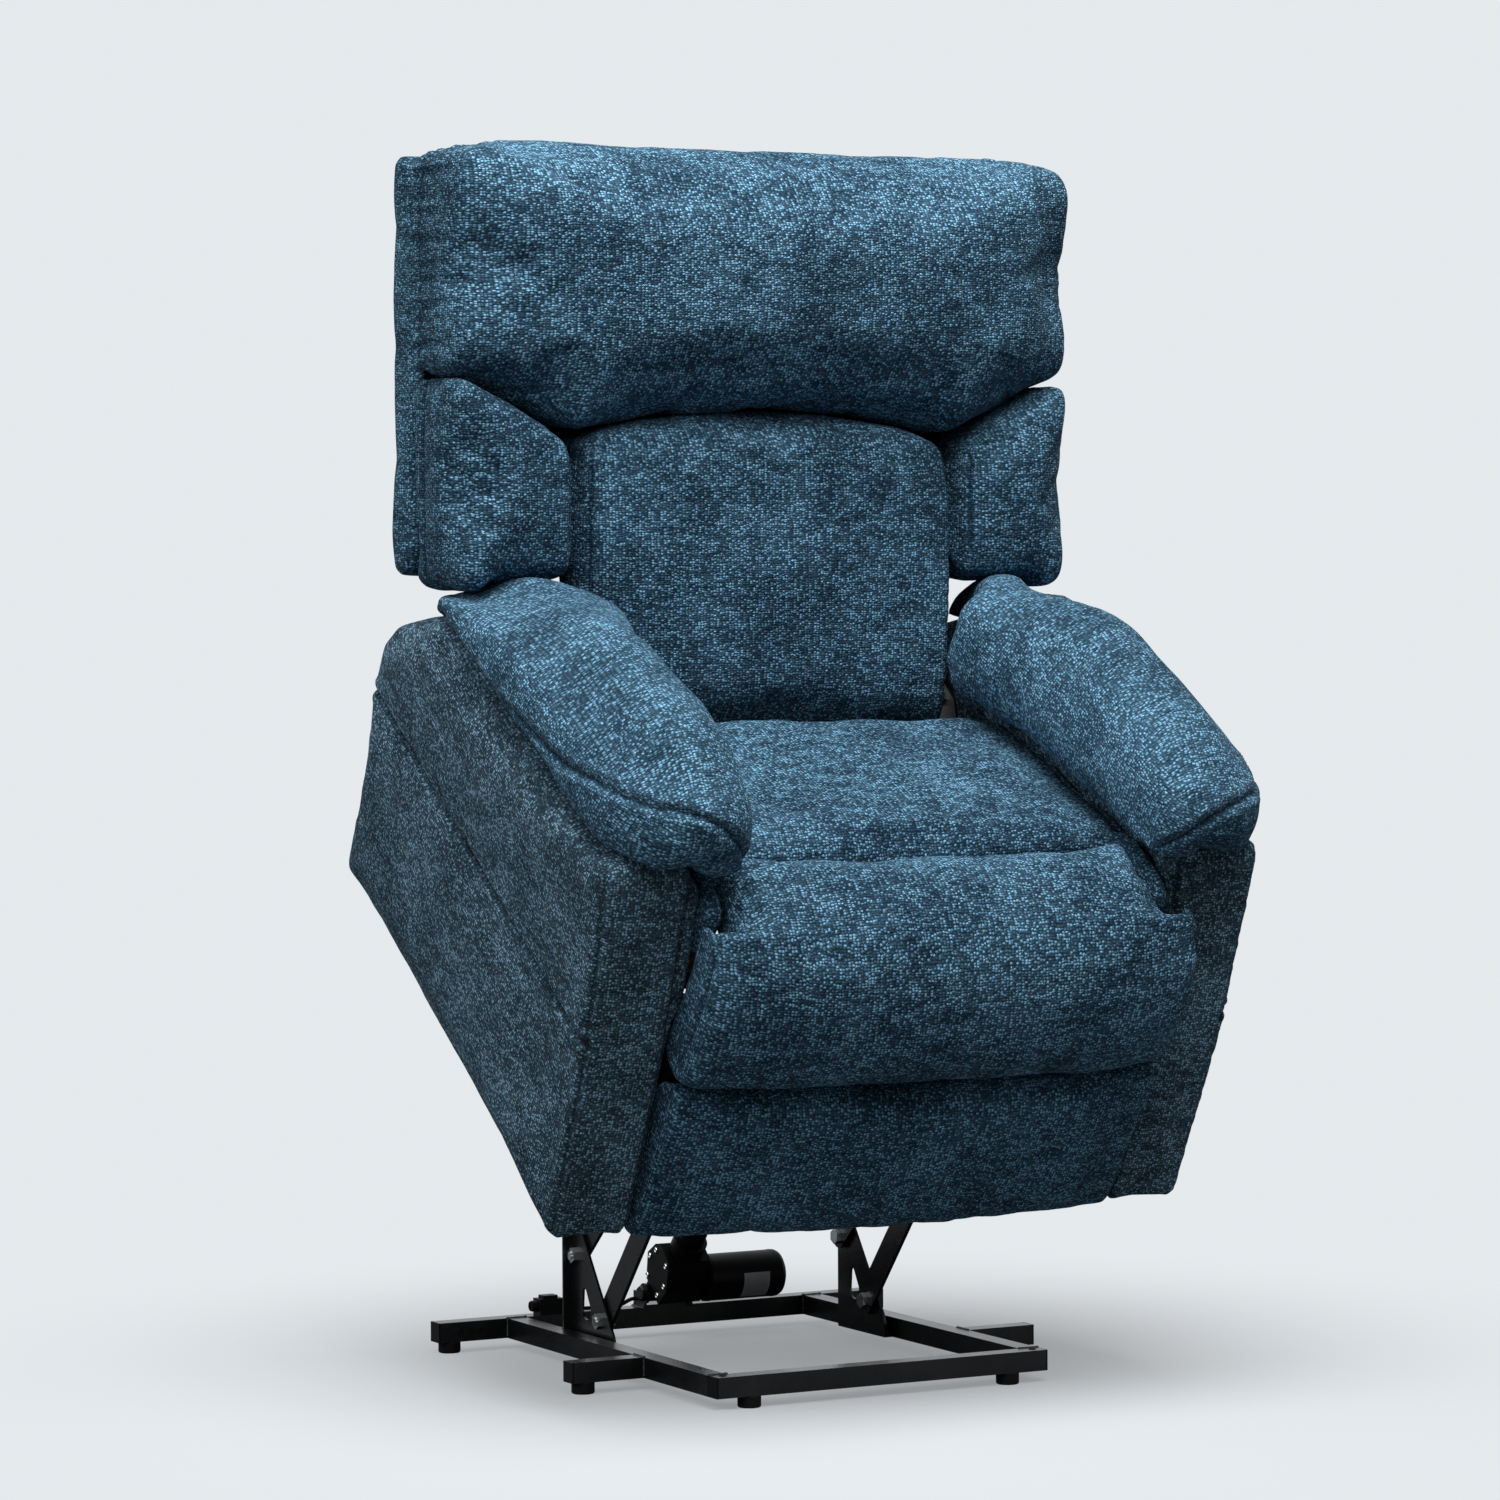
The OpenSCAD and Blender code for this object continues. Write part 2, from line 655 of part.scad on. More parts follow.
// Arm pad stations: y, underside or 0 to lie on the arm, drop of the top, tucks inside and outside
pad_rows = [[66, 500, 34, 50, 84], [70, 484, 18, 30, 66], [82, 470, 6, 14, 48],
    [104, 466, -3, 4, 30], [145, 0, -7, 0, 10], [200, 0, -7, 0, 2], [270, 0, -4, 0, 0],
    [340, 0, 1, 0, 0], [410, 0, 8, -4, 0], [480, 0, 20, -16, 0], [530, 0, 32, -30, 0],
    [562, 0, 41, -37, 1], [586, 0, 48, -27, 2], [606, 0, 56, -4, 3], [630, 0, 64, 12, 6], [640, 0, 69, 16, 8], [672, 0, 88, 34, 14],
    [698, 0, 106, 54, 20], [726, 0, 138, 56, 34]];
module arm_pad(s) {
    n = 15;
    xi = arm_in - 1.2;
    color(fabric) on_side(s) on_seat() skin([for (i = [len(pad_rows) - 1:-1:0]) let (
        r = pad_rows[i], y = r[0],
        low = (r[1] > 0 ? r[1] : arm_top(y)) + seat_gap, high = arm_h + pad_thick - 5 - r[2],
        x0 = arm_in - pad_overhang + r[3], x1 = arm_out + arm_flare + pad_out - r[4],
        sag = y > 600 ? 0 : max(0, low - seat_at(y) - 6) * min(1, (600 - y) / 60, (y - 40) / 90),
        fall = y < 120 ? 6 : y < 560 ? 14 : 24, h = high - low, xm = (x0 + x1) / 2)
        concat(
            [for (j = [0:n]) let (t = 180 * j / n, x = xm + (x1 - x0) / 2 * signed(cos(t), 0.8),
                out = min(1, max(0, (x - 348) / 26)))
                [x, y, low + h * (0.28 + 0.72 * signed(sin(t), 0.8)) - out * fall * sin(t)]],
            [for (q = [[0.02, 0.13], [0.12, 0.04], [0.3, 0.01]])
                [x0 + (xi - x0) * q[0], y, low - sag + h * q[1]]],
            [for (f = [0.6, 1]) [x0 + (xi - x0) * f, y, low - sag]],
            [[xi + 0.1, y, low], [mid(xi, x1, 0.35), y, low], [mid(xi, x1, 0.7), y, low],
                [mid(xi, x1, 0.9), y, low + h * 0.03], [mid(xi, x1, 0.98), y, low + h * 0.12]])]);
}
module arm_pad_left() { arm_pad(-1); }
module arm_pad_right() { arm_pad(1); }

// ---------- back: frame, in its own frame with the recline pivot as origin ----------
post_x = mech_x + mech_t + 5.5;
frame_y = 50;
frame_t = 25;
module back_posts() {
    color(steel) on_back() for (s = [-1, 1]) on_side(s)
        translate([post_x, frame_y, -20]) cube([20, frame_t, back_top - 60]);
}

rail_end = mech_x + mech_t + 0.3;        // the lowest rail fits between the brackets
module back_rails() {
    color(timber) on_back() {
        translate([-rail_end, frame_y, 44]) cube([2 * rail_end, frame_t, 40]);
        translate([-post_x, frame_y, 290]) cube([2 * post_x, frame_t, 40]);
        translate([-back_half_w + 30, frame_y, back_top - 80])
            cube([2 * back_half_w - 60, frame_t, 40]);
    }
}

module recline_bracket(s) {
    color(steel) on_side(s) on_back() {
        plate(mech_x + mech_t + 0.5, 5) difference() {
            union() {
                circle(d = 44);
                polygon([[0, -17], [frame_y + frame_t, -17], [frame_y + frame_t, 150],
                    [frame_y + 4, 150], [-20, 0]]);
            }
            circle(d = bolt_d + 2 * pin_play);
        }
    }
}
module recline_bracket_left() { recline_bracket(-1); }
module recline_bracket_right() { recline_bracket(1); }

// ---------- back: upholstery ----------
back_face = frame_y - seat_gap;          // rear plane of the cushions
notch_z = 404;
cusp_z = 318;
arch_z = 358;
crease = 3;

// Lower edge of the head pillow: an arch between two cusps, rising again to the sides
function pillow_low(x) = abs(x) < lumbar_half_w
    ? cusp_z + (arch_z - cusp_z) * crown(x / lumbar_half_w, 2)
    : cusp_z + (notch_z - cusp_z) * pow((abs(x) - lumbar_half_w) / (back_half_w - lumbar_half_w), 0.8);

module head_pillow() {
    m = 18;
    us = stations(m);
    color(fabric) on_back() x_cushion(0, back_half_w,
        [for (u = us) pillow_low(u * back_half_w) + crease],
        [for (u = us) back_top + 12 * pow(u, 4)],
        [for (u = us) -127 + 10 * abs(u)], [for (u = us) back_face], 10, 22, m, 1);
}

module lumbar_cushion() {
    m = 14;
    us = stations(m);
    color(fabric) on_back() skin([for (i = [0:m]) let (u = us[i] * 0.995, x = u * lumbar_half_w,
        c = max(0.4, crown(u, 5)))
        [for (q = section(24, 1, 1, 4.4)) let (
            low = -20, high = pillow_low(x) - crease, z = (low + high) / 2 + q[1] * (high - low) / 2,
            front = back_face - 150 * c)
            [x, (back_face + front) / 2 + q[0] * (back_face - front) / 2, z]]]);
}

module wing_cushion(s) {
    m = 10;
    us = stations(m);
    wing_mid = (back_half_w + lumbar_half_w + crease) / 2;
    wing_half = (back_half_w - lumbar_half_w - crease) / 2;
    // the wing ends higher where it stands over the arm pad
    function low_at(u) = wing_low + 18 * min(1, max(0, (0.62 - u) / 0.26));
    color(fabric) on_side(s) on_back() x_cushion(wing_mid, wing_half,
        [for (u = us) low_at(u)], [for (u = us) pillow_low(wing_mid + u * wing_half) - crease],
        [for (u = us) -105 - 8 * u], [for (u = us) back_face], 6, 20, m, 1);
}
module wing_cushion_left() { wing_cushion(-1); }
module wing_cushion_right() { wing_cushion(1); }

cover_y = frame_y + frame_t + seat_gap;
module rear_cover() {
    m = 12;
    us = stations(m);
    color(fabric) on_back() x_cushion(0, back_half_w - 8,
        [for (u = us) wing_low], [for (u = us) back_top - 40],
        [for (u = us) cover_y], [for (u = us) cover_y + 66], 12, 20, m, -1);
}

module lower_back_panel() {
    color(fabric) on_back() hull() {
        translate([-post_x - 16, cover_y, 20]) cube([2 * post_x + 32, 20, wing_low - 24]);
        translate([-post_x + 6, cover_y + 22, 34]) cube([2 * post_x - 12, 20, wing_low - 44]);
    }
}

// ---------- footrest, closed ----------
board_y = 45;
leg_half_w = arm_in - leg_side_gap;
module footrest_board() {
    color(timber) on_seat() translate([-leg_half_w + 6, board_y, 14])
        cube([2 * leg_half_w - 12, board_t, board_h]);
}

plane_step = 5;
bar_t = 4;
foot_x = mech_x + mech_t + 1;
function plane_x(k) = foot_x + k * plane_step;
head_d = 14;
head_t = 0.7;

module footrest_brackets() {
    color(steel) on_seat() for (s = [-1, 1]) on_side(s) {
        plate(plane_x(3), bar_t)
            polygon([[board_y + board_t, 104], [foot_b[0] + 10, 122], [foot_b2[0] + 14, 212],
                [foot_b2[0] + 8, 232], [board_y + board_t, 262]]);
        // welded pin into the outer link, and a rivet beside the tip link
        x_cyl(foot_b, plane_x(1) - 0.8, plane_x(3) - plane_x(1) + 1.8, foot_pin_d);
        x_cyl(foot_b, plane_x(1) - head_t - 0.1, head_t, head_d);
        x_cyl(foot_b2, plane_x(3) + bar_t, 2, head_d);
    }
}

// Sections of the upper leg pad: over the seat's width, and beside the links
leg_front = [[44.7, pad_split + 12], [36, pad_split + 5], [20, pad_split], [0, pad_split],
    [-20, pad_split + 4], [-33, pad_split + 14], [-41, 256], [-44, 286], [-42, 318], [-34, 350],
    [-20, 378], [2, 404]];
leg_deck = [[35, 428], [75, 442], [115, 448], [143, 448], [154, 443], [157, 432], [152, 390],
    [150, 378], [140, 370], [115, 357], [90, 345], [66, 334], [52, 326], [44.7, 316]];
leg_side = [[20, 419], [30, 425], [38, 427], [42, 424], [44, 418], [44.7, 410], [44.7, 400],
    [44.7, 390], [44.7, 380], [44.7, 370], [44.7, 360], [44.7, 348], [44.7, 334], [44.7, 316]];
deck_half_w = mech_x - 17;

module upper_leg_pad() {
    // distance from the middle, depth, set-in of the rear, height
    rows = [[leg_half_w + 3.5, 0.16, 18, 0.5], [leg_half_w + 2.5, 0.3, 9, 0.8],
        [leg_half_w + 1, 0.38, 4, 0.84], [leg_half_w, 0.42, 0, 0.86],
        [leg_half_w - 8, 0.56, 0, 0.94], [leg_half_w - 26, 0.72, 0, 0.98],
        [deck_half_w + 6, 0.84, 0, 1], [deck_half_w, 0.85, 0, 0.99], [deck_half_w - 8, 0.87, 0, 1],
        [210, 0.94, 0, 1], [140, 0.98, 0, 1], [70, 1, 0, 1], [0, 1, 0, 1]];
    rear = leg_front[0][0];
    all = concat(rows, [for (i = [len(rows) - 2:-1:0]) let (r = rows[i]) [-r[0], r[1], r[2], r[3]]]);
    color(fabric) on_seat() skin([for (r = all)
        [for (q = concat(leg_front, abs(r[0]) > deck_half_w + 1 ? leg_side : leg_deck))
            [r[0], q[0] > rear ? q[0] : rear - r[2] - (rear - q[0]) * r[1], 320 + (q[1] - 320) * r[3]]]]);
}

module lower_leg_pad() {
    m = 12;
    us = stations(m);
    color(fabric) on_seat() x_cushion(0, leg_half_w,
        [for (u = us) -5], [for (u = us) pad_split - 4],
        [for (u = us) -28 + 24 * u * u], [for (u = us) board_y - seat_gap], 12, 20, m, 1);
}

// Footrest links: a flat bar each, in planes outside the mechanism plates
module foot_link(plane, p, q, bore_p, bore_q) {
    plate(plane_x(plane), bar_t) bar(p, q, 24, bore_p, bore_q);
}
foot_bore = foot_pin_d + 2 * pin_play;

// A pin that is fixed in one link and turns in the bore of the next one out
module foot_pin(p, plane) {
    x_cyl(p, plane_x(plane) + bar_t - 0.5, plane_step + 1, foot_pin_d);
    x_cyl(p, plane_x(plane + 1) + bar_t + 0.1, head_t, head_d);
}

// A thin rivet head on the outside of a link
module rivet(p, plane) { x_cyl(p, plane_x(plane) + bar_t, head_t, head_d); }

module footrest_drive_links() {
    color(steel) on_seat() for (s = [-1, 1]) on_side(s) {
        foot_link(0, foot_a, foot_k, foot_bore, 2);
        plate(plane_x(0), bar_t) {
            translate(foot_m) circle(d = 24);
            polygon([foot_k, foot_k + [11, 3], foot_m + [11, -3], foot_m + [-6, 9],
                mid(foot_a, foot_k, 0.45)]);
        }
        foot_pin(foot_k, 0);
        x_cyl(foot_m, plane_x(0) + bar_t - 0.5, 2 * plane_step + 1, foot_pin_d);
        x_cyl(foot_m, plane_x(2) + bar_t + 0.1, head_t, head_d);
    }
}

module footrest_outer_links() {
    color(steel) on_seat() for (s = [-1, 1]) on_side(s) {
        plate(plane_x(1), bar_t) difference() {
            union() {
                bar(foot_k, foot_b, 24, 1, 1);
                bar(foot_k, foot_n, 24, 1, 1);
            }
            for (p = [foot_k, foot_b]) translate(p) circle(d = foot_bore);
        }
        rivet(foot_n, 1);
    }
}

module footrest_guide_links() {
    color(steel) on_seat() for (s = [-1, 1]) on_side(s) {
        foot_link(3, foot_a2, foot_n, foot_bore, 2);
        x_cyl(foot_n, plane_x(3) + bar_t, 2, head_d);
    }
}

module footrest_tip_links() {
    color(steel) on_seat() for (s = [-1, 1]) on_side(s) {
        foot_link(2, foot_m, foot_b2, foot_bore, 2);
        rivet(foot_b2, 2);
    }
}

module mechanism_pins() {
    color(zinc) on_seat() for (s = [-1, 1]) on_side(s) {
        x_cyl(foot_a, mech_x - 3, 3, head_d);
        x_cyl(foot_a, mech_x, plane_x(0) + bar_t + 0.6 - mech_x, foot_pin_d);
        x_cyl(foot_a, plane_x(0) + bar_t + 0.1, head_t, head_d);
        x_cyl(foot_a2, mech_x - 3, 3, head_d);
        x_cyl(foot_a2, mech_x, plane_x(3) + bar_t + 0.6 - mech_x, foot_pin_d);
        x_cyl(foot_a2, mech_x + mech_t, plane_x(3) - 0.2 - mech_x - mech_t, head_d);
        x_cyl(foot_a2, plane_x(3) + bar_t + 0.1, 2, head_d);
        x_hex(recline_at, mech_x - bolt_head_h, bolt_head_h, bolt_af);
        x_cyl(recline_at, mech_x - 0.5, 18, bolt_d);
        x_hex(recline_at, mech_x + mech_t + 5.9, 7, bolt_af);
    }
}

front_cross_tube();
rear_cross_tube();
side_rail_left();
side_rail_right();
outrigger_left();
outrigger_right();
tube_end_caps();
rubber_feet();
lift_upright_left();
lift_upright_right();
base_pivot_bolts();
actuator_clevis();
power_connector();
motor_lead();
lower_link_left();
lower_link_right();
link_torque_tube();
upper_link_left();
upper_link_right();
lift_motor();
lift_gearbox();
guide_tube();
actuator_rod();
lift_bracket_left();
lift_bracket_right();
seat_cross_tubes();
actuator_cross_tube();
seat_pivot_bolts();
mechanism_plate_left();
mechanism_plate_right();
seat_side_rails();
seat_cross_rails();
seat_springs();
seat_cushion();
arm_panel_left();
arm_panel_right();
arm_pad_left();
arm_pad_right();
back_posts();
back_rails();
recline_bracket_left();
recline_bracket_right();
rear_cover();
lower_back_panel();
lumbar_cushion();
wing_cushion_left();
wing_cushion_right();
head_pillow();
footrest_board();
footrest_brackets();
upper_leg_pad();
lower_leg_pad();
footrest_drive_links();
footrest_outer_links();
footrest_guide_links();
footrest_tip_links();
mechanism_pins();
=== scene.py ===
import json
import math
import bpy
import bmesh
import numpy as np
from mathutils import Vector, Matrix
from mathutils.bvhtree import BVHTree


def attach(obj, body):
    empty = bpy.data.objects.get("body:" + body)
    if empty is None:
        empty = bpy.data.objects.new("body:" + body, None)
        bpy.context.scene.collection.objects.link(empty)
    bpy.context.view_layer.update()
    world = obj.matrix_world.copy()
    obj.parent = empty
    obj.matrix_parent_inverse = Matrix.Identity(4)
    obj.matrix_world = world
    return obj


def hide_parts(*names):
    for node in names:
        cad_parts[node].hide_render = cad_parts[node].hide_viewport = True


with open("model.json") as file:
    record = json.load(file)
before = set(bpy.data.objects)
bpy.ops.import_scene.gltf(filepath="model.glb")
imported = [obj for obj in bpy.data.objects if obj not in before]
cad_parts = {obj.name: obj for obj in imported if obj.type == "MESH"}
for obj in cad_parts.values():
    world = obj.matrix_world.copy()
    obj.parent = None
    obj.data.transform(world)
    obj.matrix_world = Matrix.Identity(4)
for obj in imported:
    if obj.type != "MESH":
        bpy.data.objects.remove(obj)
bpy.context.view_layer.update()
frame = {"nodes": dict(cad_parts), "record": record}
nodes = frame["nodes"]
scene = bpy.context.scene


# ---- the chair's own coordinates, in metres ----
tilt = math.radians(34.5)      # seat unit, lifted
lean = math.radians(33.5)      # back, from the seat unit's vertical
seatOrigin = (-0.167, 0.203)   # Y and Z of the seat unit's corner
reclineAt = (0.620, 0.320)     # Y and Z of the back's pivot, from that corner


def turned(y, z, a):
    return y * math.cos(a) - z * math.sin(a), y * math.sin(a) + z * math.cos(a)


def seatLocal(p):
    d = p - np.array([0, seatOrigin[0], seatOrigin[1]])
    y, z = turned(d[:, 1], d[:, 2], -tilt)
    return np.stack([p[:, 0], y, z], 1)


def seatWorld(q):
    y, z = turned(q[:, 1], q[:, 2], tilt)
    return np.stack([q[:, 0], y + seatOrigin[0], z + seatOrigin[1]], 1)


def backLocal(p):
    q = seatLocal(p)
    y, z = turned(q[:, 1] - reclineAt[0], q[:, 2] - reclineAt[1], lean)
    return np.stack([q[:, 0], y, z], 1)


def backWorld(q):
    y, z = turned(q[:, 1], q[:, 2], -lean)
    return seatWorld(np.stack([q[:, 0], y + reclineAt[0], z + reclineAt[1]], 1))


seatFrame = (seatLocal, seatWorld)
backFrame = (backLocal, backWorld)


# ---- camera: metres, degrees, and millimetres for the lens and sensor ----
view = {"place": (-2.9772, -5.4549, 0.9543), "azimuth": -28.02, "down": 1.77, "roll": -0.31,
        "lens": 122.9, "sensor": 36, "farthest": 60}


def newObject(name, data):
    obj = bpy.data.objects.new(name, data)
    scene.collection.objects.link(obj)
    return obj


def makeCamera(v):
    cam = bpy.data.cameras.new("camera")
    cam.sensor_width = v["sensor"]
    cam.sensor_fit = "HORIZONTAL"
    cam.lens = v["lens"]
    cam.clip_end = v["farthest"]
    obj = newObject("camera", cam)
    a, e, r = (math.radians(v[k]) for k in ("azimuth", "down", "roll"))
    ahead = Vector((-math.sin(a) * math.cos(e), math.cos(a) * math.cos(e), -math.sin(e)))
    right = Vector((math.cos(a), math.sin(a), 0))
    up = right.cross(ahead)
    right, up = right * math.cos(r) + up * math.sin(r), up * math.cos(r) - right * math.sin(r)
    m = Matrix((right, up, -ahead)).transposed().to_4x4()
    m.translation = Vector(v["place"])
    obj.matrix_world = m
    scene.camera = obj


makeCamera(view)
print("camera placed")


# ---- shader maths ----
class Wire:
    # a socket that takes part in Python expressions
    def __init__(self, nodeTree, socket):
        self.tree = nodeTree
        self.socket = socket

    def math(self, operation, *others, clamp=False):
        values = {"i%d" % k: value for k, value in enumerate((self, *others))}
        return nodeIn(self.tree, "ShaderNodeMath", {"operation": operation, "use_clamp": clamp},
                      **values)

    def __add__(self, o): return self.math("ADD", o)
    def __radd__(self, o): return self.math("ADD", o)
    def __sub__(self, o): return self.math("SUBTRACT", o)
    def __mul__(self, o): return self.math("MULTIPLY", o)
    def __rmul__(self, o): return self.math("MULTIPLY", o)
    def __pow__(self, o): return self.math("POWER", o)

    def __rsub__(self, o):
        return nodeIn(self.tree, "ShaderNodeMath", {"operation": "SUBTRACT"}, i0=o, i1=self)

    def clamped(self):
        return self.math("ADD", 0.0, clamp=True)


def feed(nodeTree, slot, value):
    if isinstance(value, Wire):
        nodeTree.links.new(value.socket, slot)
    else:
        slot.default_value = value


def nodeIn(tree, kind, settings=None, out=0, **values):
    # a node of any kind; i0, i1 and so on are inputs by number, other keys are their names
    node = tree.nodes.new(kind)
    for key, value in (settings or {}).items():
        setattr(node, key, value)
    for key, value in values.items():
        byNumber = key[0] == "i" and key[1:].isdigit()
        feed(tree, node.inputs[int(key[1:]) if byNumber else key.replace("_", " ")], value)
    return Wire(tree, node.outputs[out])


class Finish:
    # a material with its Principled shader, and one method for any other node
    def __init__(self, name, **fixed):
        self.material = bpy.data.materials.new(name)
        self.material.use_nodes = True
        self.tree = self.material.node_tree
        self.shader = self.tree.nodes["Principled BSDF"]
        for key, value in fixed.items():
            self.shader.inputs[key.replace("_", " ")].default_value = value

    def node(self, kind, settings=None, out=0, **values):
        return nodeIn(self.tree, kind, settings, out, **values)

    def place(self):
        return self.node("ShaderNodeTexCoord", out="Object")

    def mapped(self, at, scale):
        return self.node("ShaderNodeMapping", Vector=at, Scale=scale)

    def noise(self, at, scale, detail, rough):
        return self.node("ShaderNodeTexNoise", out="Fac", Vector=at, Scale=scale, Detail=detail,
                         Roughness=rough)

    def between(self, value, low, high):
        return self.node("ShaderNodeMapRange", {"interpolation_type": "SMOOTHSTEP"}, Value=value,
                         From_Min=low, From_Max=high)

    def mix(self, share, a, b):
        return self.node("ShaderNodeMix", {"data_type": "RGBA"}, out=2, i0=share, i6=a, i7=b)

    def set(self, slot, value):
        feed(self.tree, self.shader.inputs[slot], value)

    def bump(self, height, strength, distance):
        return self.node("ShaderNodeBump", Height=height, Strength=strength, Distance=distance)


# ---- finishes ----
# knot is the size of a tuft along and across the weave, patch the scale of the crushed areas
chenille = {"dark": (0.0016, 0.0100, 0.0230, 1), "light": (0.240, 0.515, 0.745, 1),
            "knot": (0.0041, 0.0029), "patch": 8.0}
# a greyer copy of the navy chenille for the arm panels: painted sheen, for the grazing light on
# their sides
chenilleGreyPaintedSheen = {"dark": (0.0060, 0.0140, 0.0210, 1), "light": (0.300, 0.530, 0.710, 1),
                "knot": (0.0037, 0.0031), "patch": 9.0}
napDepth = 0.0016
paintedSeamShade = 0.85               # how much the painted shade darkens the pile in the bottom of a seam


def chenilleFinish(name, c, paintedLight=0.0):
    f = Finish(name, Roughness=0.9, Sheen_Weight=0.05, Sheen_Roughness=0.45,
               Sheen_Tint=(0.45, 0.62, 0.76, 1), Specular_IOR_Level=0.08)
    uv = f.node("ShaderNodeUVMap", {"uv_map": "cloth"})
    place = f.place()
    wander = f.node("ShaderNodeTexNoise", {"noise_dimensions": "2D"}, out="Color", Vector=uv,
                    Scale=90.0, Detail=2.0, Roughness=0.6)
    shaken = f.node("ShaderNodeVectorMath", {"operation": "MULTIPLY_ADD"}, i0=wander,
                    i1=(0.0022, 0.0022, 0.0), i2=uv)
    # chenille knots: one lighter tuft a cell, each with its own brightness
    tuft = f.node("ShaderNodeTexVoronoi", {"voronoi_dimensions": "2D"}, out="Distance",
                  Vector=f.mapped(shaken, (1 / c["knot"][0], 1 / c["knot"][1], 1)), Scale=1.0,
                  Randomness=0.62)
    own = f.node("ShaderNodeSeparateColor", i0=Wire(f.tree, tuft.socket.node.outputs["Color"]))
    dot = 1.0 - f.between(tuft, 0.10, 0.62)
    fuzz = f.noise(uv, 760.0, 2.0, 0.7)
    # crushed pile: patches where the yarn lies light or dark
    broad = f.noise(f.mapped(place, (1.0, 1.0, 0.7)), c["patch"], 3.0, 0.55)
    fine = f.noise(f.mapped(uv, (0.8, 1.9, 1.0)), 30.0, 6.0, 0.72)
    crush = f.between(broad * 0.38 + fine * 0.62, 0.40, 0.62)
    tufts = dot * (0.08 + own ** 2.3 * 1.55) * (0.48 + 0.66 * crush)
    # the crease attribute carries painted shade in the bottom of the seams
    seam = f.node("ShaderNodeAttribute", {"attribute_name": "crease"}, out="Fac")
    # paintedLight lifts the pile of a whole piece: painted light
    light = (tufts + 0.02 + 0.09 * crush + (fuzz - 0.5) * 0.12 + paintedLight).clamped()
    f.set("Base Color", f.mix(light * (1.0 - seam * paintedSeamShade), c["dark"], c["light"]))
    f.set("Normal", f.bump(dot * (0.5 + 0.5 * own) + fuzz * 0.35 + crush * 0.2, 0.8, napDepth))
    f.set("Roughness", 0.82 + fuzz * 0.16)
    return f.material


def threadFinish():
    f = Finish("threadNavy", Roughness=0.75, Sheen_Weight=0.2)
    twist = f.node("ShaderNodeTexWave", {"wave_type": "BANDS"}, out="Fac", Vector=f.place(),
                   Scale=420.0, Distortion=2.0)
    f.set("Base Color", f.mix(twist, (0.012, 0.040, 0.070, 1), (0.055, 0.115, 0.17, 1)))
    f.set("Normal", f.bump(twist, 0.4, 0.0003))
    return f.material


def powderCoatFinish():
    f = Finish("powderCoatBlack", Roughness=0.42, Coat_Weight=0.05)
    place = f.place()
    peel = f.noise(place, 900.0, 2.0, 0.5)
    dust = f.noise(place, 14.0, 5.0, 0.6)
    scuff = f.between(f.noise(f.mapped(place, (1, 6, 1)), 60.0, 4.0, 0.7), 0.66, 0.78)
    f.set("Base Color", f.mix(f.between(dust, 0.45, 0.75) * 0.5 + scuff * 0.3,
                              (0.0022, 0.0026, 0.0030, 1), (0.011, 0.012, 0.013, 1)))
    f.set("Roughness", 0.20 + dust * 0.16 + scuff * 0.12)
    f.set("Normal", f.bump(peel, 0.35, 0.0003))
    return f.material


def zincFinish():
    f = Finish("zincPlate", Metallic=1.0, Roughness=0.28)
    place = f.place()
    cloud = f.noise(place, 120.0, 4.0, 0.6)
    fleck = f.noise(place, 900.0, 2.0, 0.6)
    f.set("Base Color", f.mix(cloud, (0.74, 0.77, 0.80, 1), (0.95, 0.96, 0.95, 1)))
    f.set("Roughness", 0.12 + cloud * 0.18)
    f.set("Normal", f.bump(fleck, 0.25, 0.0002))
    return f.material


def plasticFinish(name, base, rough):
    f = Finish(name, Roughness=rough, Specular_IOR_Level=0.12)
    place = f.place()
    grain = f.noise(place, 1300.0, 2.0, 0.55)
    cloud = f.noise(place, 22.0, 4.0, 0.6)
    lighter = tuple(min(1, 1.9 * b + 0.001) for b in base[:3]) + (1,)
    f.set("Base Color", f.mix(f.between(cloud, 0.4, 0.8), base, lighter))
    f.set("Roughness", rough - 0.06 + cloud * 0.14)
    f.set("Normal", f.bump(grain, 0.4, 0.00025))
    return f.material


def boardFinish():
    f = Finish("rawBoard", Roughness=0.7)
    place = f.place()
    ring = f.node("ShaderNodeTexWave", {"wave_type": "BANDS", "bands_direction": "Z"}, out="Fac",
                  Vector=f.mapped(place, (0.12, 1, 1)), Scale=26.0, Distortion=5.0, Detail=3.0)
    pore = f.noise(f.mapped(place, (0.06, 1, 1)), 420.0, 3.0, 0.6)
    f.set("Base Color", f.mix(ring * 0.6 + pore * 0.4, (0.36, 0.22, 0.11, 1),
                              (0.62, 0.44, 0.25, 1)))
    f.set("Normal", f.bump(pore, 0.3, 0.0004))
    return f.material


fabric = chenilleFinish("chenilleNavy", chenille)
# the arm pads' copy is painted lighter: painted light for their tops under the lamps
fabricPadsPaintedLight = chenilleFinish("chenilleNavyPadsPaintedLight", chenille, 0.02)
# the arm panels' greyer copy is painted sheen
fabricPanelsPaintedSheen = chenilleFinish("chenilleNavyPanelsPaintedSheen", chenilleGreyPaintedSheen)
thread = threadFinish()
powderCoat = powderCoatFinish()
zinc = zincFinish()
blackPlastic = plasticFinish("mouldedBlack", (0.0022, 0.0022, 0.0024, 1), 0.40)
rubber = plasticFinish("footRubber", (0.006, 0.006, 0.006, 1), 0.72)
board = boardFinish()
# black cloth such chairs have over their boards, used here also as painted shade for what shows
# through the gaps
dustClothAndShade = plasticFinish("dustClothAndShade", (0.006, 0.008, 0.010, 1), 0.85)
print("finishes ready")

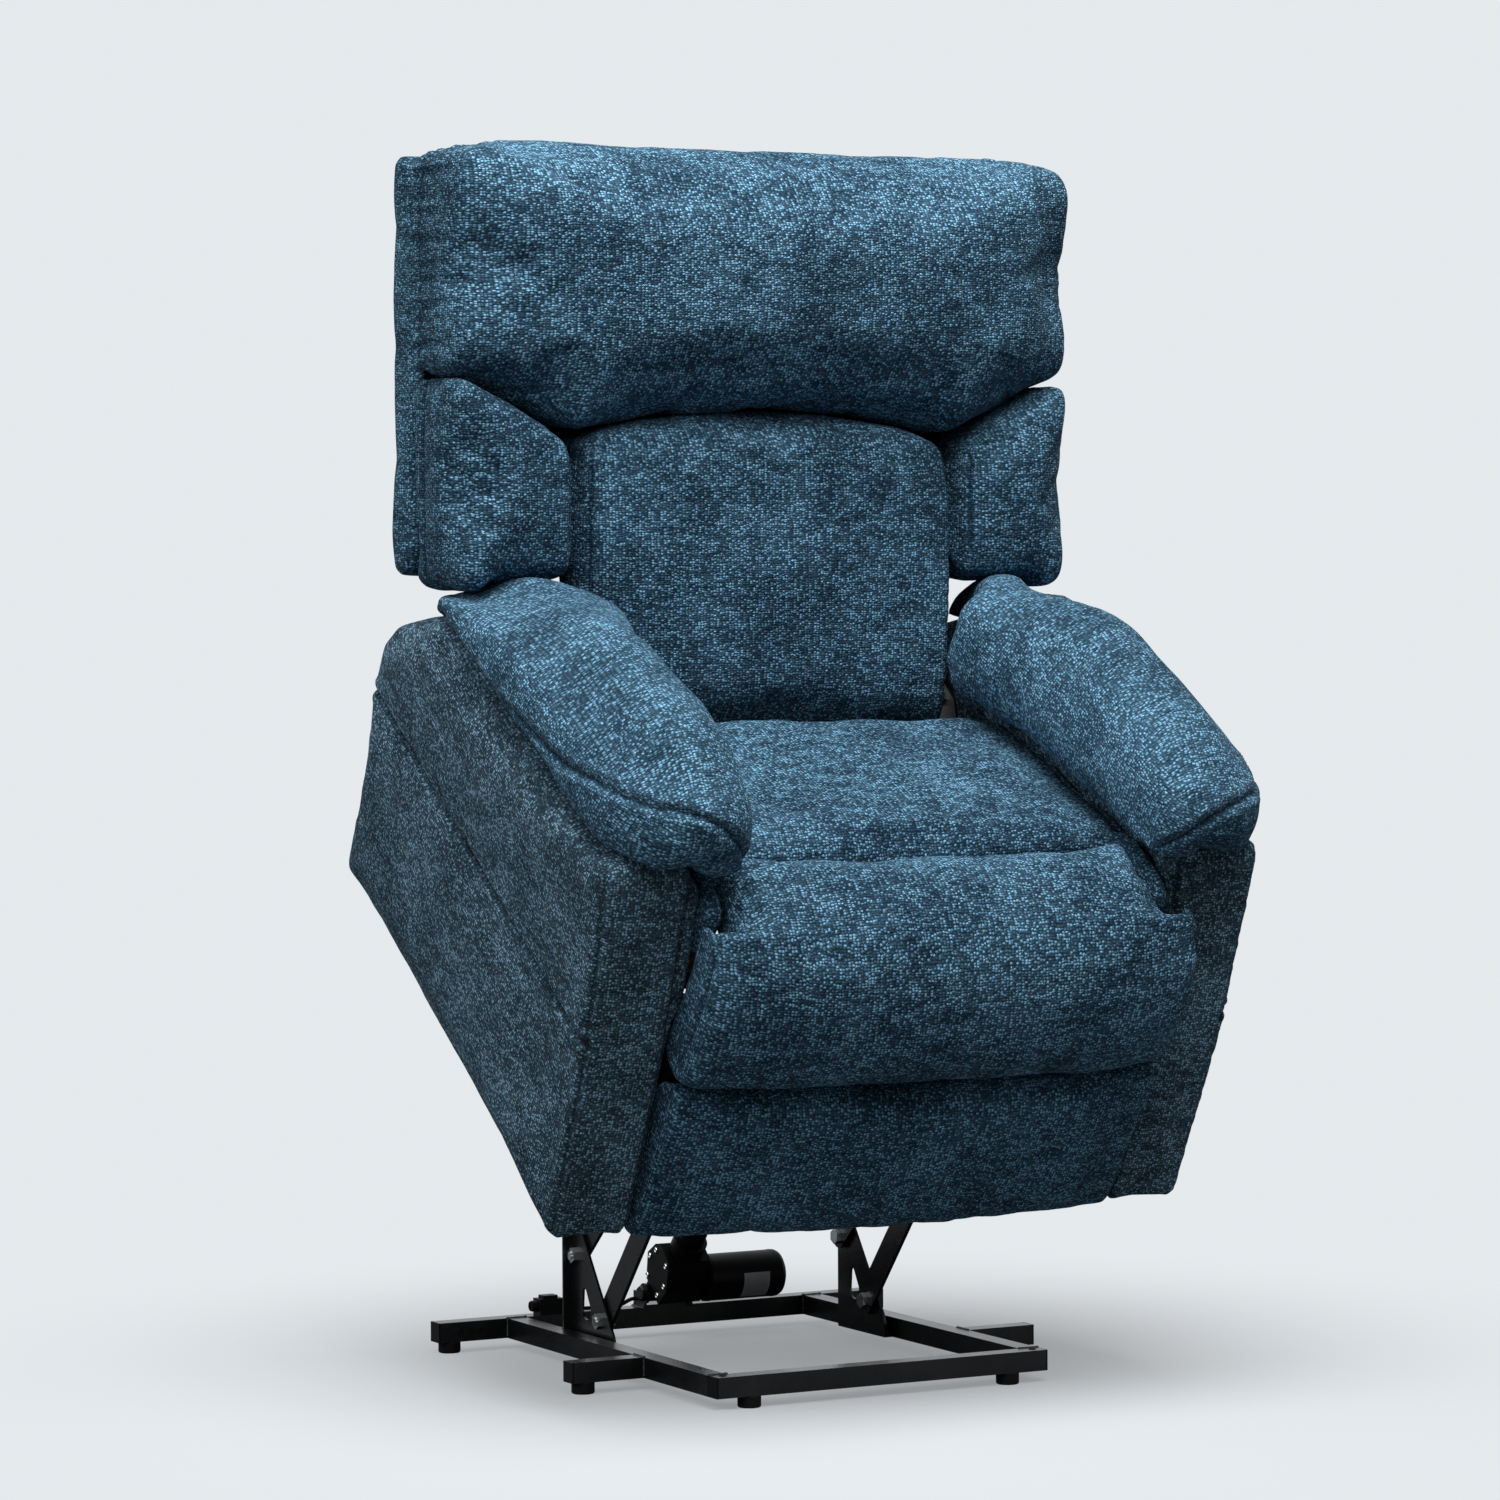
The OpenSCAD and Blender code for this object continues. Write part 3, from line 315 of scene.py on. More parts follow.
bySlot = {"black_steel": powderCoat, "zinc": zinc, "black_plastic": blackPlastic,
          "foot_rubber": rubber, "timber": board, "upholstery": fabric}
for sub in frame["record"]["subparts"]:
    # the footrest board and back rails are dressed in the black cloth: partly the cloth they have,
    # partly painted shade in the gaps
    clothedAndShaded = sub["node"] in ("footrest_board", "back_rails")
    obj = nodes[sub["node"]]
    obj.data.materials.clear()
    obj.data.materials.append(dustClothAndShade if clothedAndShaded else bySlot[sub["material_slot"]])


# ---- soft pieces ----
def evaluated(obj, name):
    graph = bpy.context.evaluated_depsgraph_get()
    mesh = bpy.data.meshes.new_from_object(obj.evaluated_get(graph))
    mesh.name = name
    return mesh


def read(items, field, kind, width=1):
    # one field of all the items of a mesh, as an array
    values = np.empty(len(items) * width, kind)
    items.foreach_get(field, values)
    return values.reshape(-1, width).astype(float) if width > 1 else values


def points(mesh):
    return read(mesh.vertices, "co", np.float32, 3)


def setPoints(mesh, co):
    mesh.vertices.foreach_set("co", np.ascontiguousarray(co, np.float32).ravel())
    mesh.update()


def normals(mesh):
    return read(mesh.vertices, "normal", np.float32, 3)


def powered(v, e):
    return np.sign(v) * np.abs(v) ** e


def circle(n):
    return np.linspace(0, 2 * math.pi, n, endpoint=False)


# how square a block's rear is, how much its ends draw in, and where its last ring lies
rearSquareness, sideInset, lastRing = 18, 0.006, 0.9995


def slab(half, mid, low, high, front, back, across, around, m, n):
    # m + 1 rings of n points, of an upholstered block; low, high, front and back are functions of
    # x, and across and around say how square it is from the front and from the side
    rings = []
    for u in -np.cos(np.linspace(0, math.pi, m + 1)) * lastRing:
        c = max(0.0, 1 - abs(u) ** across) ** (1 / across)
        x = mid + half * u
        z0, z1, y0, y1 = low(x), high(x), front(x), back(x)
        t = circle(n)
        e = np.where(np.cos(t) > 0, 2 / rearSquareness, 2 / around)
        ys = y1 - (y1 - y0) * c / 2 + (y1 - y0) / 2 * c * powered(np.cos(t), e)
        zs = (z0 + z1) / 2 + ((z1 - z0) / 2 - sideInset * (1 - c)) * powered(np.sin(t), e)
        rings.append(np.stack([np.full(n, x), ys, zs], 1))
    return np.array(rings)


def ringMesh(name, rings, toWorld):
    m, n = rings.shape[:2]
    co = toWorld(np.vstack([rings.reshape(-1, 3), rings[0].mean(0), rings[-1].mean(0)]))
    faces = [(i * n + j, i * n + (j + 1) % n, (i + 1) * n + (j + 1) % n, (i + 1) * n + j)
             for i in range(m - 1) for j in range(n)]
    faces += [(m * n, (j + 1) % n, j) for j in range(n)]
    faces += [(m * n + 1, (m - 1) * n + j, (m - 1) * n + (j + 1) % n) for j in range(n)]
    mesh = bpy.data.meshes.new(name)
    mesh.from_pydata(co.tolist(), [], faces)
    return mesh


weldWithin = 0.0004            # the solids' meshes are split at their edges, and joined again


def nodeMesh(name, node):
    bm = bmesh.new()
    bm.from_mesh(nodes[node].data)
    bmesh.ops.remove_doubles(bm, verts=bm.verts, dist=weldWithin)
    bmesh.ops.recalc_face_normals(bm, faces=bm.faces)
    mesh = bpy.data.meshes.new(name)
    bm.to_mesh(mesh)
    bm.free()
    return mesh


def formFrom(name, s):
    # a closed, evenly meshed form a little inside the solid it stands for
    if "rings" in s:
        rings = s["rings"](s["side"]) if "side" in s else s["rings"]()
        mesh = ringMesh(name, rings, s["frame"][1])
    else:
        mesh = nodeMesh(name, s["node"])
    obj = newObject(name, mesh)
    even = obj.modifiers.new("even", "REMESH")
    even.mode = "VOXEL"
    even.voxel_size = s["voxel"]
    even.use_smooth_shade = True
    relax = obj.modifiers.new("relax", "SMOOTH")
    relax.factor = 0.6
    relax.iterations = s.get("relax", 8)
    push = obj.modifiers.new("inward", "DISPLACE")
    push.strength = -s["inward"]
    push.mid_level = 0.0
    result = evaluated(obj, name)
    obj.modifiers.clear()
    obj.data = result
    return obj


# ---- seams: polylines in each piece's own coordinates, laid on its surface ----
seamStep = 0.004               # between the samples of a line
farAway = 9.0                  # more than any distance here
tiny = 1e-9                    # keeps a division off zero


def runAlong(line):
    # the length of a line up to each of its points
    return np.concatenate([[0], np.cumsum(np.linalg.norm(np.diff(line, axis=0), axis=1))])


def resampled(path, step):
    # evenly spaced points on a smooth curve through the given ones
    p = np.asarray(path, float)
    fine = []
    for i in range(len(p) - 1):
        a, b = p[i], p[i + 1]
        before = p[i - 1] if i else a
        after = p[i + 2] if i + 2 < len(p) else b
        for t in np.linspace(0, 1, 12, endpoint=False):
            fine.append(0.5 * (2 * a + (b - before) * t
                               + (2 * before - 5 * a + 4 * b - after) * t ** 2
                               + (3 * a - before - 3 * b + after) * t ** 3))
    fine = np.array(fine + [p[-1]])
    run = runAlong(fine)
    at = np.linspace(0, run[-1], max(2, int(round(run[-1] / step)) + 1))
    return np.stack([np.interp(at, run, fine[:, k]) for k in range(3)], 1)


def surfaceTree(mesh):
    polygons = [tuple(p.vertices) for p in mesh.polygons]
    return BVHTree.FromPolygons([tuple(v) for v in points(mesh)], polygons)


def laid(tree, line):
    # the line's points and the surface normals where it meets the surface
    on, up = [], []
    for p in line:
        at, n, _, _ = tree.find_nearest(Vector(p))
        on.append(at)
        up.append(n)
    return np.array(on), np.array(up)


def nearTo(co, line, batch=8000):
    # distance of each point from a line's samples, and the nearest sample's index
    distance = np.full(len(co), farAway)
    index = np.zeros(len(co), int)
    for k in range(0, len(co), batch):
        d = np.linalg.norm(co[k:k + batch, None] - line[None], axis=2)
        index[k:k + batch] = d.argmin(1)
        distance[k:k + batch] = d.min(1)
    return distance, index


def nearToAny(co, lines):
    near = np.full(len(co), farAway)
    for line in lines:
        near = np.minimum(near, nearTo(co, line)[0])
    return near


clothSettings = {"quality": 4, "mass": 0.35, "tension_stiffness": 14, "compression_stiffness": 14,
                 "shear_stiffness": 5, "bending_stiffness": 0.5, "vertex_group_mass": "seams",
                 "use_pressure": True}
stuffFrames = 20


def stuff(pieces):
    # pressure from inside, held along the seams, all pieces in one run of the cloth solver
    for obj, s in pieces:
        start = points(obj.data)
        s["start"] = start
        held = obj.vertex_groups.new(name="seams")
        for i in np.nonzero(nearToAny(start, s["lines"]) < s["voxel"] * 0.9)[0]:
            held.add([int(i)], 1.0, "REPLACE")
        cloth = obj.modifiers.new("stuffing", "CLOTH")
        for key, value in clothSettings.items():
            setattr(cloth.settings, key, value)
        cloth.settings.uniform_pressure_force = s["pressure"]
        cloth.settings.effector_weights.gravity = 0.0
        cloth.collision_settings.use_collision = False
        cloth.point_cache.frame_start = 1
        cloth.point_cache.frame_end = stuffFrames
    for f in range(1, stuffFrames + 1):
        scene.frame_set(f)
    for obj, s in pieces:
        mesh = evaluated(obj, obj.name)
        obj.modifiers.clear()
        obj.vertex_groups.clear()
        moved = points(mesh) - s["start"]
        length = np.linalg.norm(moved, axis=1)
        print("  stuffed", obj.name, len(mesh.vertices), "mean %.1f mm, most %.1f mm"
              % (length.mean() * 1000, length.max() * 1000))
        moved *= (s["cap"] * np.tanh(length / s["cap"]) / np.maximum(length, tiny))[:, None]
        obj.data = mesh
        setPoints(mesh, s["start"] + moved)
    scene.frame_set(1)


aboutTurn = 6.28               # a whole turn, near enough for a random start
noiseWaves, noiseDivisor = 9, 4.2


def noiseField(q, scale, seed):
    # smooth seeded noise at points, from a few sine waves in random directions
    rng = np.random.default_rng(seed)
    total = np.zeros(len(q))
    for k in range(noiseWaves):
        d = rng.normal(size=3)
        d /= np.linalg.norm(d)
        total += np.sin(q @ d * 2 * math.pi / scale * rng.uniform(0.6, 1.6)
                        + rng.uniform(0, aboutTurn))
    return total / noiseDivisor


preferFront = np.array([1.0, 1.15, 1.0])   # faces on the diagonal are laid as seen from the front


def clothMap(obj, toLocal):
    # weave coordinates: each face is laid flat along its own main direction
    mesh = obj.data
    q = toLocal(points(mesh))
    loopVerts = read(mesh.loops, "vertex_index", np.int32)
    starts = read(mesh.polygons, "loop_start", np.int32)
    totals = read(mesh.polygons, "loop_total", np.int32)
    a, b, c = (q[loopVerts[starts + k]] for k in (0, 1, 2))
    n = np.abs(np.cross(b - a, c - a)) * preferFront
    axis = np.repeat(np.argmax(n, axis=1), totals)[:, None]
    p = q[loopVerts]
    uv = np.where(axis == 0, p[:, [1, 2]], np.where(axis == 1, p[:, [0, 2]], p[:, [0, 1]]))
    layer = mesh.uv_layers.new(name="cloth")
    layer.data.foreach_set("uv", np.ascontiguousarray(uv, np.float32).ravel())


def finer(obj):
    sub = obj.modifiers.new("finer", "SUBSURF")
    sub.levels = sub.render_levels = 1
    mesh = evaluated(obj, obj.name)
    obj.modifiers.clear()
    obj.data = mesh
    mesh.polygons.foreach_set("use_smooth", [True] * len(mesh.polygons))


# shapes of the back cushions, in the back's own coordinates
backHalf, lumbarHalf, backTop = 0.424, 0.262, 0.672
backFace, coverFace = 0.0497, 0.0763    # the planes the cushions and the rear cover lie on
cuspZ, archZ, notchZ = 0.318, 0.358, 0.404    # the pillow's lower edge: cusps, arch and sides
wingLow, wingDrop, lumbarLow = 0.148, 0.012, -0.038
crease = 0.0014                # half the gap between two cushions


def pillowLow(x):
    a = abs(x)
    if a < lumbarHalf:
        return cuspZ + (archZ - cuspZ) * math.sqrt(max(0.0, 1 - (a / lumbarHalf) ** 2))
    return cuspZ + (notchZ - cuspZ) * ((a - lumbarHalf) / (backHalf - lumbarHalf)) ** 0.8


def corner(x, r):
    # how far an outline with its corner rounded to r falls back, this near the side
    over = max(0.0, abs(x) - backHalf + r)
    return r - math.sqrt(max(0.0, r * r - over * over))


def pillowRings():
    return slab(backHalf, 0, lambda x: pillowLow(x) + crease + corner(x, 0.012),
                lambda x: backTop + 0.012 * (x / backHalf) ** 4 - corner(x, 0.046),
                lambda x: -0.128 + 0.012 * abs(x / backHalf), lambda x: backFace,
                across=11.0, around=4.6, m=110, n=80)


def lumbarRings():
    return slab(lumbarHalf, 0, lambda x: lumbarLow, lambda x: pillowLow(x) - crease,
                lambda x: -0.096 + 0.006 * (x / lumbarHalf) ** 4, lambda x: backFace,
                across=26.0, around=5.0, m=72, n=80)


def wingRings(side):
    mid = (backHalf + lumbarHalf + crease) / 2 * side
    half = (backHalf - lumbarHalf - crease) / 2

    def low(x):
        # the inner part of the lower edge stands a little higher than the outer
        u = (abs(x) - abs(mid)) / half
        inner = min(1.0, max(0.0, (0.62 - u) / 0.26))
        return wingLow - wingDrop + 0.018 * inner + corner(x, 0.026)
    return slab(half, mid, low, lambda x: pillowLow(x) - crease - corner(x, 0.010),
                lambda x: -0.094 - 0.006 * (abs(x) - lumbarHalf) / (2 * half), lambda x: backFace,
                across=12.0, around=6.0, m=48, n=72)


def mirrored(path):
    return [(-x, y, z) for x, y, z in path]


# seams of the left side, from point to point; the right side's are mirrored
padSeam = [(-0.425, 0.705, 0.432), (-0.433, 0.650, 0.440), (-0.437, 0.590, 0.449),
           (-0.437, 0.520, 0.457), (-0.437, 0.440, 0.468), (-0.437, 0.330, 0.486),
           (-0.437, 0.250, 0.503), (-0.434, 0.180, 0.530), (-0.424, 0.120, 0.556),
           (-0.400, 0.084, 0.574), (-0.360, 0.070, 0.566), (-0.322, 0.068, 0.540),
           (-0.292, 0.078, 0.505), (-0.278, 0.096, 0.476)]
armSeam = [(-0.433, 0.030, 0.256), (-0.434, 0.20, 0.257), (-0.434, 0.45, 0.258),
           (-0.432, 0.755, 0.258)]
armFront = [(0.112, 0.460), (0.074, 0.360), (0.044, 0.250), (0.024, 0.130), (0.006, 0.010)]
armFrontEdge = [(x, y, z) for x, (y, z) in zip((-0.440, -0.439, -0.436, -0.433, -0.430), armFront)]
armInnerEdge = [(-0.327, y, z) for y, z in armFront]
pillowSide = [(-0.330, 0.022, 0.684), (-0.390, 0.022, 0.676), (-0.414, 0.022, 0.640),
              (-0.418, 0.022, 0.560), (-0.418, 0.022, 0.470), (-0.416, 0.022, 0.415)]
pillowTop = [(-0.330, 0.022, 0.684), (-0.20, 0.022, 0.676), (0.0, 0.022, 0.673),
             (0.20, 0.022, 0.676), (0.330, 0.022, 0.684)]
wingSide = [(-0.418, 0.022, 0.395), (-0.418, 0.022, 0.300), (-0.418, 0.022, 0.220),
            (-0.414, 0.022, 0.160)]
wingInner = [(-0.266, -0.09, 0.31), (-0.266, -0.095, 0.25), (-0.266, -0.095, 0.19)]
lumbarSide = [(-0.261, -0.088, 0.31), (-0.261, -0.09, 0.20), (-0.261, -0.09, 0.10),
              (-0.258, -0.088, 0.01)]
legSide = [(-0.322, 0.02, 0.40), (-0.324, 0.012, 0.34), (-0.323, 0.015, 0.28),
           (-0.318, 0.02, 0.245)]
seatSide = [(-0.300, 0.175, 0.428), (-0.300, 0.30, 0.408), (-0.300, 0.50, 0.372)]


def pair(name, **left):
    # a piece of the left side and its mirror image on the right
    left["side"] = -1
    right = dict(left, side=1, seams=[mirrored(path) for path in left["seams"]])
    if "reach" in left:
        right["reach"] = {0: tuple(-x for x in reversed(left["reach"][0]))}
    return {name + "Left": dict(left, node=left["node"] + "_left"),
            name + "Right": dict(right, node=left["node"] + "_right")}


# Each piece: the node it stands for with its frame and body, the rings of its form if it isn't
# cut from the node, the voxel of its mesh, how far inside it starts, the pressure that stuffs it,
# the most (cap) that this may move it, how full it is, and its seams. relax is how often the form
# is smoothed. rear, front, wide and wrap are for confine, and reach, square and crown for refit.
softPieces = {
    "headPillow": dict(node="head_pillow", frame=backFrame, body="backrest", rings=pillowRings,
                       voxel=0.0064, inward=0.003, pressure=4.0, cap=0.024, fill=0.8,
                       rear=backFace, reach={0: (-0.428, 0.428)}, square=0.385,
                       seams=[pillowSide, mirrored(pillowSide), pillowTop]),
    **pair("wing", node="wing_cushion", frame=backFrame, body="backrest", rings=wingRings,
           voxel=0.005, inward=0.002, pressure=4.0, cap=0.022, fill=0.7, rear=backFace,
           reach={0: (-0.433, -0.2630)}, seams=[wingSide, wingInner]),
    "lumbarPad": dict(node="lumbar_cushion", frame=backFrame, body="backrest", rings=lumbarRings,
                      voxel=0.006, inward=0.002, pressure=4.0, cap=0.024, fill=0.75,
                      rear=backFace, reach={0: (-0.2625, 0.2625)},
                      seams=[lumbarSide, mirrored(lumbarSide)]),
    "rearCover": dict(node="rear_cover", frame=backFrame, body="backrest", voxel=0.0064,
                      inward=0.001, pressure=2.0, cap=0.008, fill=0.5, front=coverFace, relax=4,
                      reach={0: (-0.422, 0.422), 2: (None, 0.668)}, seams=[]),
    "lowerBackPanel": dict(node="lower_back_panel", frame=backFrame, body="backrest", voxel=0.006,
                           inward=0.001, pressure=1.0, cap=0.004, fill=0.4, front=coverFace,
                           seams=[]),
    "seatPad": dict(node="seat_cushion", frame=seatFrame, body="seat_unit", voxel=0.006,
                    inward=0.001, pressure=4.0, cap=0.022, fill=0.8, wide=0.3235, relax=4,
                    seams=[seatSide, mirrored(seatSide)]),
    **pair("armPanel", node="arm_panel", frame=seatFrame, body="seat_unit", voxel=0.0064,
           inward=0.001, pressure=2.5, cap=0.010, fill=0.5, relax=4,
           seams=[armSeam, armFrontEdge, armInnerEdge]),
    **pair("armPad", node="arm_pad", frame=seatFrame, body="seat_unit", voxel=0.005,
           inward=0.003, pressure=4.0, cap=0.022, fill=0.85, relax=6, crown=0.034,
           seams=[padSeam]),
    "upperLegPad": dict(node="upper_leg_pad", frame=seatFrame, body="footrest", voxel=0.005,
                        inward=0.001, pressure=3.0, cap=0.022, fill=0.75, relax=5, wrap=True,
                        reach={0: (-0.3237, 0.3237)}, square=0.262,
                        seams=[legSide, mirrored(legSide)]),
    "lowerLegPad": dict(node="lower_leg_pad", frame=seatFrame, body="footrest", voxel=0.006,
                        inward=0.001, pressure=2.0, cap=0.012, fill=0.6, relax=4, wrap=True,
                        reach={0: (-0.3234, 0.3234)}, square=0.280, seams=[]),
}


def seamLines(obj, s):
    tree = surfaceTree(obj.data)
    return [laid(tree, s["frame"][1](resampled(path, seamStep)))[0] for path in s["seams"]]


made = {}
for name, s in softPieces.items():
    made[name] = formFrom(name, s)
    s["lines"] = seamLines(made[name], s)
print("soft forms cut:", len(made), sum(len(o.data.vertices) for o in made.values()), "points")
stuff([(made[n], softPieces[n]) for n in made])
print("soft forms stuffed")


def stepped(v, low, high):
    t = np.clip((v - low) / (high - low), 0, 1)
    return t * t * (3 - 2 * t)


squarePower = 2.6
# an arm pad's crown: where it rises and falls along Y, falls off across X and begins up Z
crownFront, crownRear = (0.075, 0.210), (0.380, 0.590)
crownSide, crownUp = (0.350, 0.428), (0.468, 0.548)
# the pad's rear end narrows over this part of Y, outside this X, by this share
taperAlong, taperFrom, taperShare = (0.640, 0.735), 0.345, 0.34


def refit(name, s):
    # brings a stuffed piece back out to where its cover reaches, side to side and up and down
    toLocal, toWorld = s["frame"]
    q = toLocal(points(made[name].data))
    for axis, (low, high) in s.get("reach", {}).items():
        a, b = q[:, axis].min(), q[:, axis].max()
        low = a if low is None else low
        q[:, axis] = low + (q[:, axis] - a) * (high - low) / (b - a)
    if "square" in s:
        # fuller sides: the rounding next to them is drawn out
        side = np.abs(q[:, 0])
        inner, outer = s["square"], np.abs(q[:, 0]).max()
        t = np.clip((side - inner) / (outer - inner), 0, 1)
        full = inner + (outer - inner) * (1 - (1 - t) ** squarePower)
        q[:, 0] = np.sign(q[:, 0]) * np.where(side > inner, full, side)
    if "crown" in s:
        # the inner half stands up along the middle of the arm, and the rear end is rounded
        side, y, z = np.abs(q[:, 0]), q[:, 1], q[:, 2]
        along = stepped(y, *crownFront) * (1 - stepped(y, *crownRear))
        q[:, 2] += s["crown"] * along * (1 - stepped(side, *crownSide)) * stepped(z, *crownUp)
        narrow = 1 - taperShare * stepped(y, *taperAlong)
        tapered = np.where(side > taperFrom, taperFrom + (side - taperFrom) * narrow, side)
        q[:, 0] = np.sign(q[:, 0]) * tapered
    setPoints(made[name].data, toWorld(q))


# X and Z of the back where its wooden frame ends, and how far the cushions and the rear cover
# reach towards each other beyond it
frameSide, frameTop = (0.392, 0.402), (0.638, 0.648)
cushionReach, coverReach = 0.0140, 0.0115
# the footrest's board: its face, where its pads are held to it, and how they go round its edge
boardFace, heldFrom, boardEdge = 0.0447, 0.3, (0.3168, 0.3185)
wrapHalf, wrapReach = 0.3238, 0.0145


def confine(name, s):
    # keeps a stuffed piece behind its seams and off what carries it
    obj = made[name]
    toLocal, toWorld = s["frame"]
    q = toLocal(points(obj.data))
    # the covers meet each other outside the frame, and stay off it elsewhere
    outside = stepped(np.abs(q[:, 0]), *frameSide)
    if s["frame"] is backFrame:
        outside = np.maximum(outside, stepped(q[:, 2], *frameTop))
    if "rear" in s:
        q[:, 1] = np.minimum(q[:, 1], s["rear"])
        q[:, 1] += cushionReach * outside * stepped(q[:, 1], 0.010, 0.048)
    if "front" in s:
        q[:, 1] = np.maximum(q[:, 1], s["front"])
        q[:, 1] -= coverReach * outside * (1 - stepped(q[:, 1], 0.080, 0.110))
    if "wrap" in s:
        free = (q[:, 1] > 0.05) | (np.abs(q[:, 0]) < heldFrom)
        q[:, 1] = np.minimum(q[:, 1], np.where(free, farAway, boardFace))
        q[:, 0] = np.clip(q[:, 0], -wrapHalf, wrapHalf)
        beyond = wrapReach * stepped(np.abs(q[:, 0]), *boardEdge)
        q[:, 1] += beyond * stepped(q[:, 1], 0.030, 0.044)
    if "wide" in s:
        q[:, 0] = np.clip(q[:, 0], -s["wide"], s["wide"])
    setPoints(obj.data, toWorld(q))


def crumple(obj, s, depth, scale, seed):
    # the small unevenness of a stuffed cover
    co = points(obj.data)
    q = s["frame"][0](co)
    setPoints(obj.data, co + normals(obj.data) * (noiseField(q, scale, seed) * depth)[:, None])


foldPitch, foldPitches = 0.02, (0.8, 1.3, 2.1)
swell, swellAt = 0.28, 2.1     # beside a seam, of its depth and width
# how wide the painted shade in a seam is
paintedShadeWidth = 0.0032


def groove(obj, line, kind, seed):
    # sinks the cover along a seam, lets it swell beside it and gathers it in short folds
    depth, width, gather = kind["depth"], kind["width"], kind["gather"]
    co = points(obj.data)
    d, i = nearTo(co, line)
    move = -depth * np.exp(-(d / width) ** 2)
    move += swell * depth * np.exp(-((d - swellAt * width) / width) ** 2)
    if gather:
        rng = np.random.default_rng(seed)
        a = runAlong(line)[i]
        wave = sum(np.sin(a * 2 * math.pi / (foldPitch * f) + rng.uniform(0, aboutTurn))
                   for f in foldPitches)
        folds = gather * wave / 3 * np.exp(-(d / kind["reach"]) ** 1.5)
        move += folds * (1 - np.exp(-(d / (0.4 * width)) ** 2))
    setPoints(obj.data, co + normals(obj.data) * move[:, None])


def paintSeamShade(obj, lines):
    # an attribute of painted shade: it darkens the pile in the bottom of each seam, where the
    # crease lies in shadow
    near = nearToAny(points(obj.data), lines)
    shade = obj.data.attributes.new("crease", "FLOAT", "POINT")
    shade.data.foreach_set("value", np.exp(-(near / paintedShadeWidth) ** 2).astype(np.float32))


# ---- rows of stitches and weld beads, made with geometry nodes ----
def rowTree(name, segments, rings):
    # places small rounded blobs along the edges of the input mesh
    tree = bpy.data.node_groups.new(name, "GeometryNodeTree")
    face = tree.interface
    face.new_socket("Geometry", in_out="INPUT", socket_type="NodeSocketGeometry")
    for label, value in (("Pitch", 0.005), ("Length", 0.0038), ("Width", 0.0011),
                         ("Height", 0.0008), ("Unevenness", 0.15)):
        face.new_socket(label, in_out="INPUT", socket_type="NodeSocketFloat").default_value = value
    face.new_socket("Material", in_out="INPUT", socket_type="NodeSocketMaterial")
    face.new_socket("Geometry", in_out="OUTPUT", socket_type="NodeSocketGeometry")
    given = {socket.name: Wire(tree, socket) for socket in tree.nodes.new("NodeGroupInput").outputs}
    curve = nodeIn(tree, "GeometryNodeMeshToCurve", Mesh=given["Geometry"])
    even = nodeIn(tree, "GeometryNodeResampleCurve", {"mode": "LENGTH"}, Curve=curve,
                  Length=given["Pitch"])
    tangent = nodeIn(tree, "GeometryNodeInputTangent")
    align = nodeIn(tree, "FunctionNodeAlignRotationToVector", {"axis": "X"}, Vector=tangent)
    size = nodeIn(tree, "ShaderNodeCombineXYZ", i0=given["Length"], i1=given["Width"],
                  i2=given["Height"])
    chance = nodeIn(tree, "FunctionNodeRandomValue", {"data_type": "FLOAT"}, out=1, Seed=7)
    spread = (chance - 0.5).math("MULTIPLY_ADD", given["Unevenness"], 1.0)
    scaled = nodeIn(tree, "ShaderNodeVectorMath", {"operation": "SCALE"}, i0=size, Scale=spread)
    ball = nodeIn(tree, "GeometryNodeMeshUVSphere", Segments=segments, Rings=rings, Radius=0.5)
    put = nodeIn(tree, "GeometryNodeInstanceOnPoints", Points=even, Instance=ball, Rotation=align,
                 Scale=scaled)
    real = nodeIn(tree, "GeometryNodeRealizeInstances", Geometry=put)
    paint = nodeIn(tree, "GeometryNodeSetMaterial", Geometry=real, Material=given["Material"])
    feed(tree, tree.nodes.new("NodeGroupOutput").inputs["Geometry"], paint)
    return tree


stitchTree = rowTree("stitchRow", 8, 5)
beadTree = rowTree("beadRow", 10, 6)


def alongLines(name, lines, tree, settings, body):
    # one mesh of blobs along all the lines of a body
    verts, edges = [], []
    for line in lines:
        k = len(verts)
        verts += [tuple(p) for p in line]
        edges += [(k + i, k + i + 1) for i in range(len(line) - 1)]
    mesh = bpy.data.meshes.new(name)
    mesh.from_pydata(verts, edges, [])
    obj = newObject(name, mesh)
    rows = obj.modifiers.new("rows", "NODES")
    rows.node_group = tree
    for item in tree.interface.items_tree:
        if item.item_type == "SOCKET" and item.in_out == "INPUT" and item.name in settings:
            rows[item.identifier] = settings[item.name]
    result = evaluated(obj, name)
    obj.modifiers.clear()
    obj.data = result
    result.polygons.foreach_set("use_smooth", [True] * len(result.polygons))
    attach(obj, body)


def beside(mesh, line, offset, lift):
    # a line shifted sideways over the surface and lifted off it
    tree = surfaceTree(mesh)
    on, up = laid(tree, line)
    run = np.gradient(on, axis=0)
    side = np.cross(up, run)
    side /= np.maximum(np.linalg.norm(side, axis=1, keepdims=True), tiny)
    on, up = laid(tree, on + side * offset)
    return on + up * lift


# depth and width of the valley, folds gathered beside it, and where the rows of stitches run
seamKinds = {
    "pad": dict(depth=0.0045, width=0.0055, rows=(0.0065, 0.0125), gather=0.0008, reach=0.03),
    "panel": dict(depth=0.0055, width=0.0046, rows=(), gather=0.0),
    "edge": dict(depth=0.0030, width=0.0050, rows=(), gather=0.0007, reach=0.03),
    "gathered": dict(depth=0.0035, width=0.0050, rows=(), gather=0.0035, reach=0.06),
    "plain": dict(depth=0.0022, width=0.0040, rows=(), gather=0.0008, reach=0.03),
}
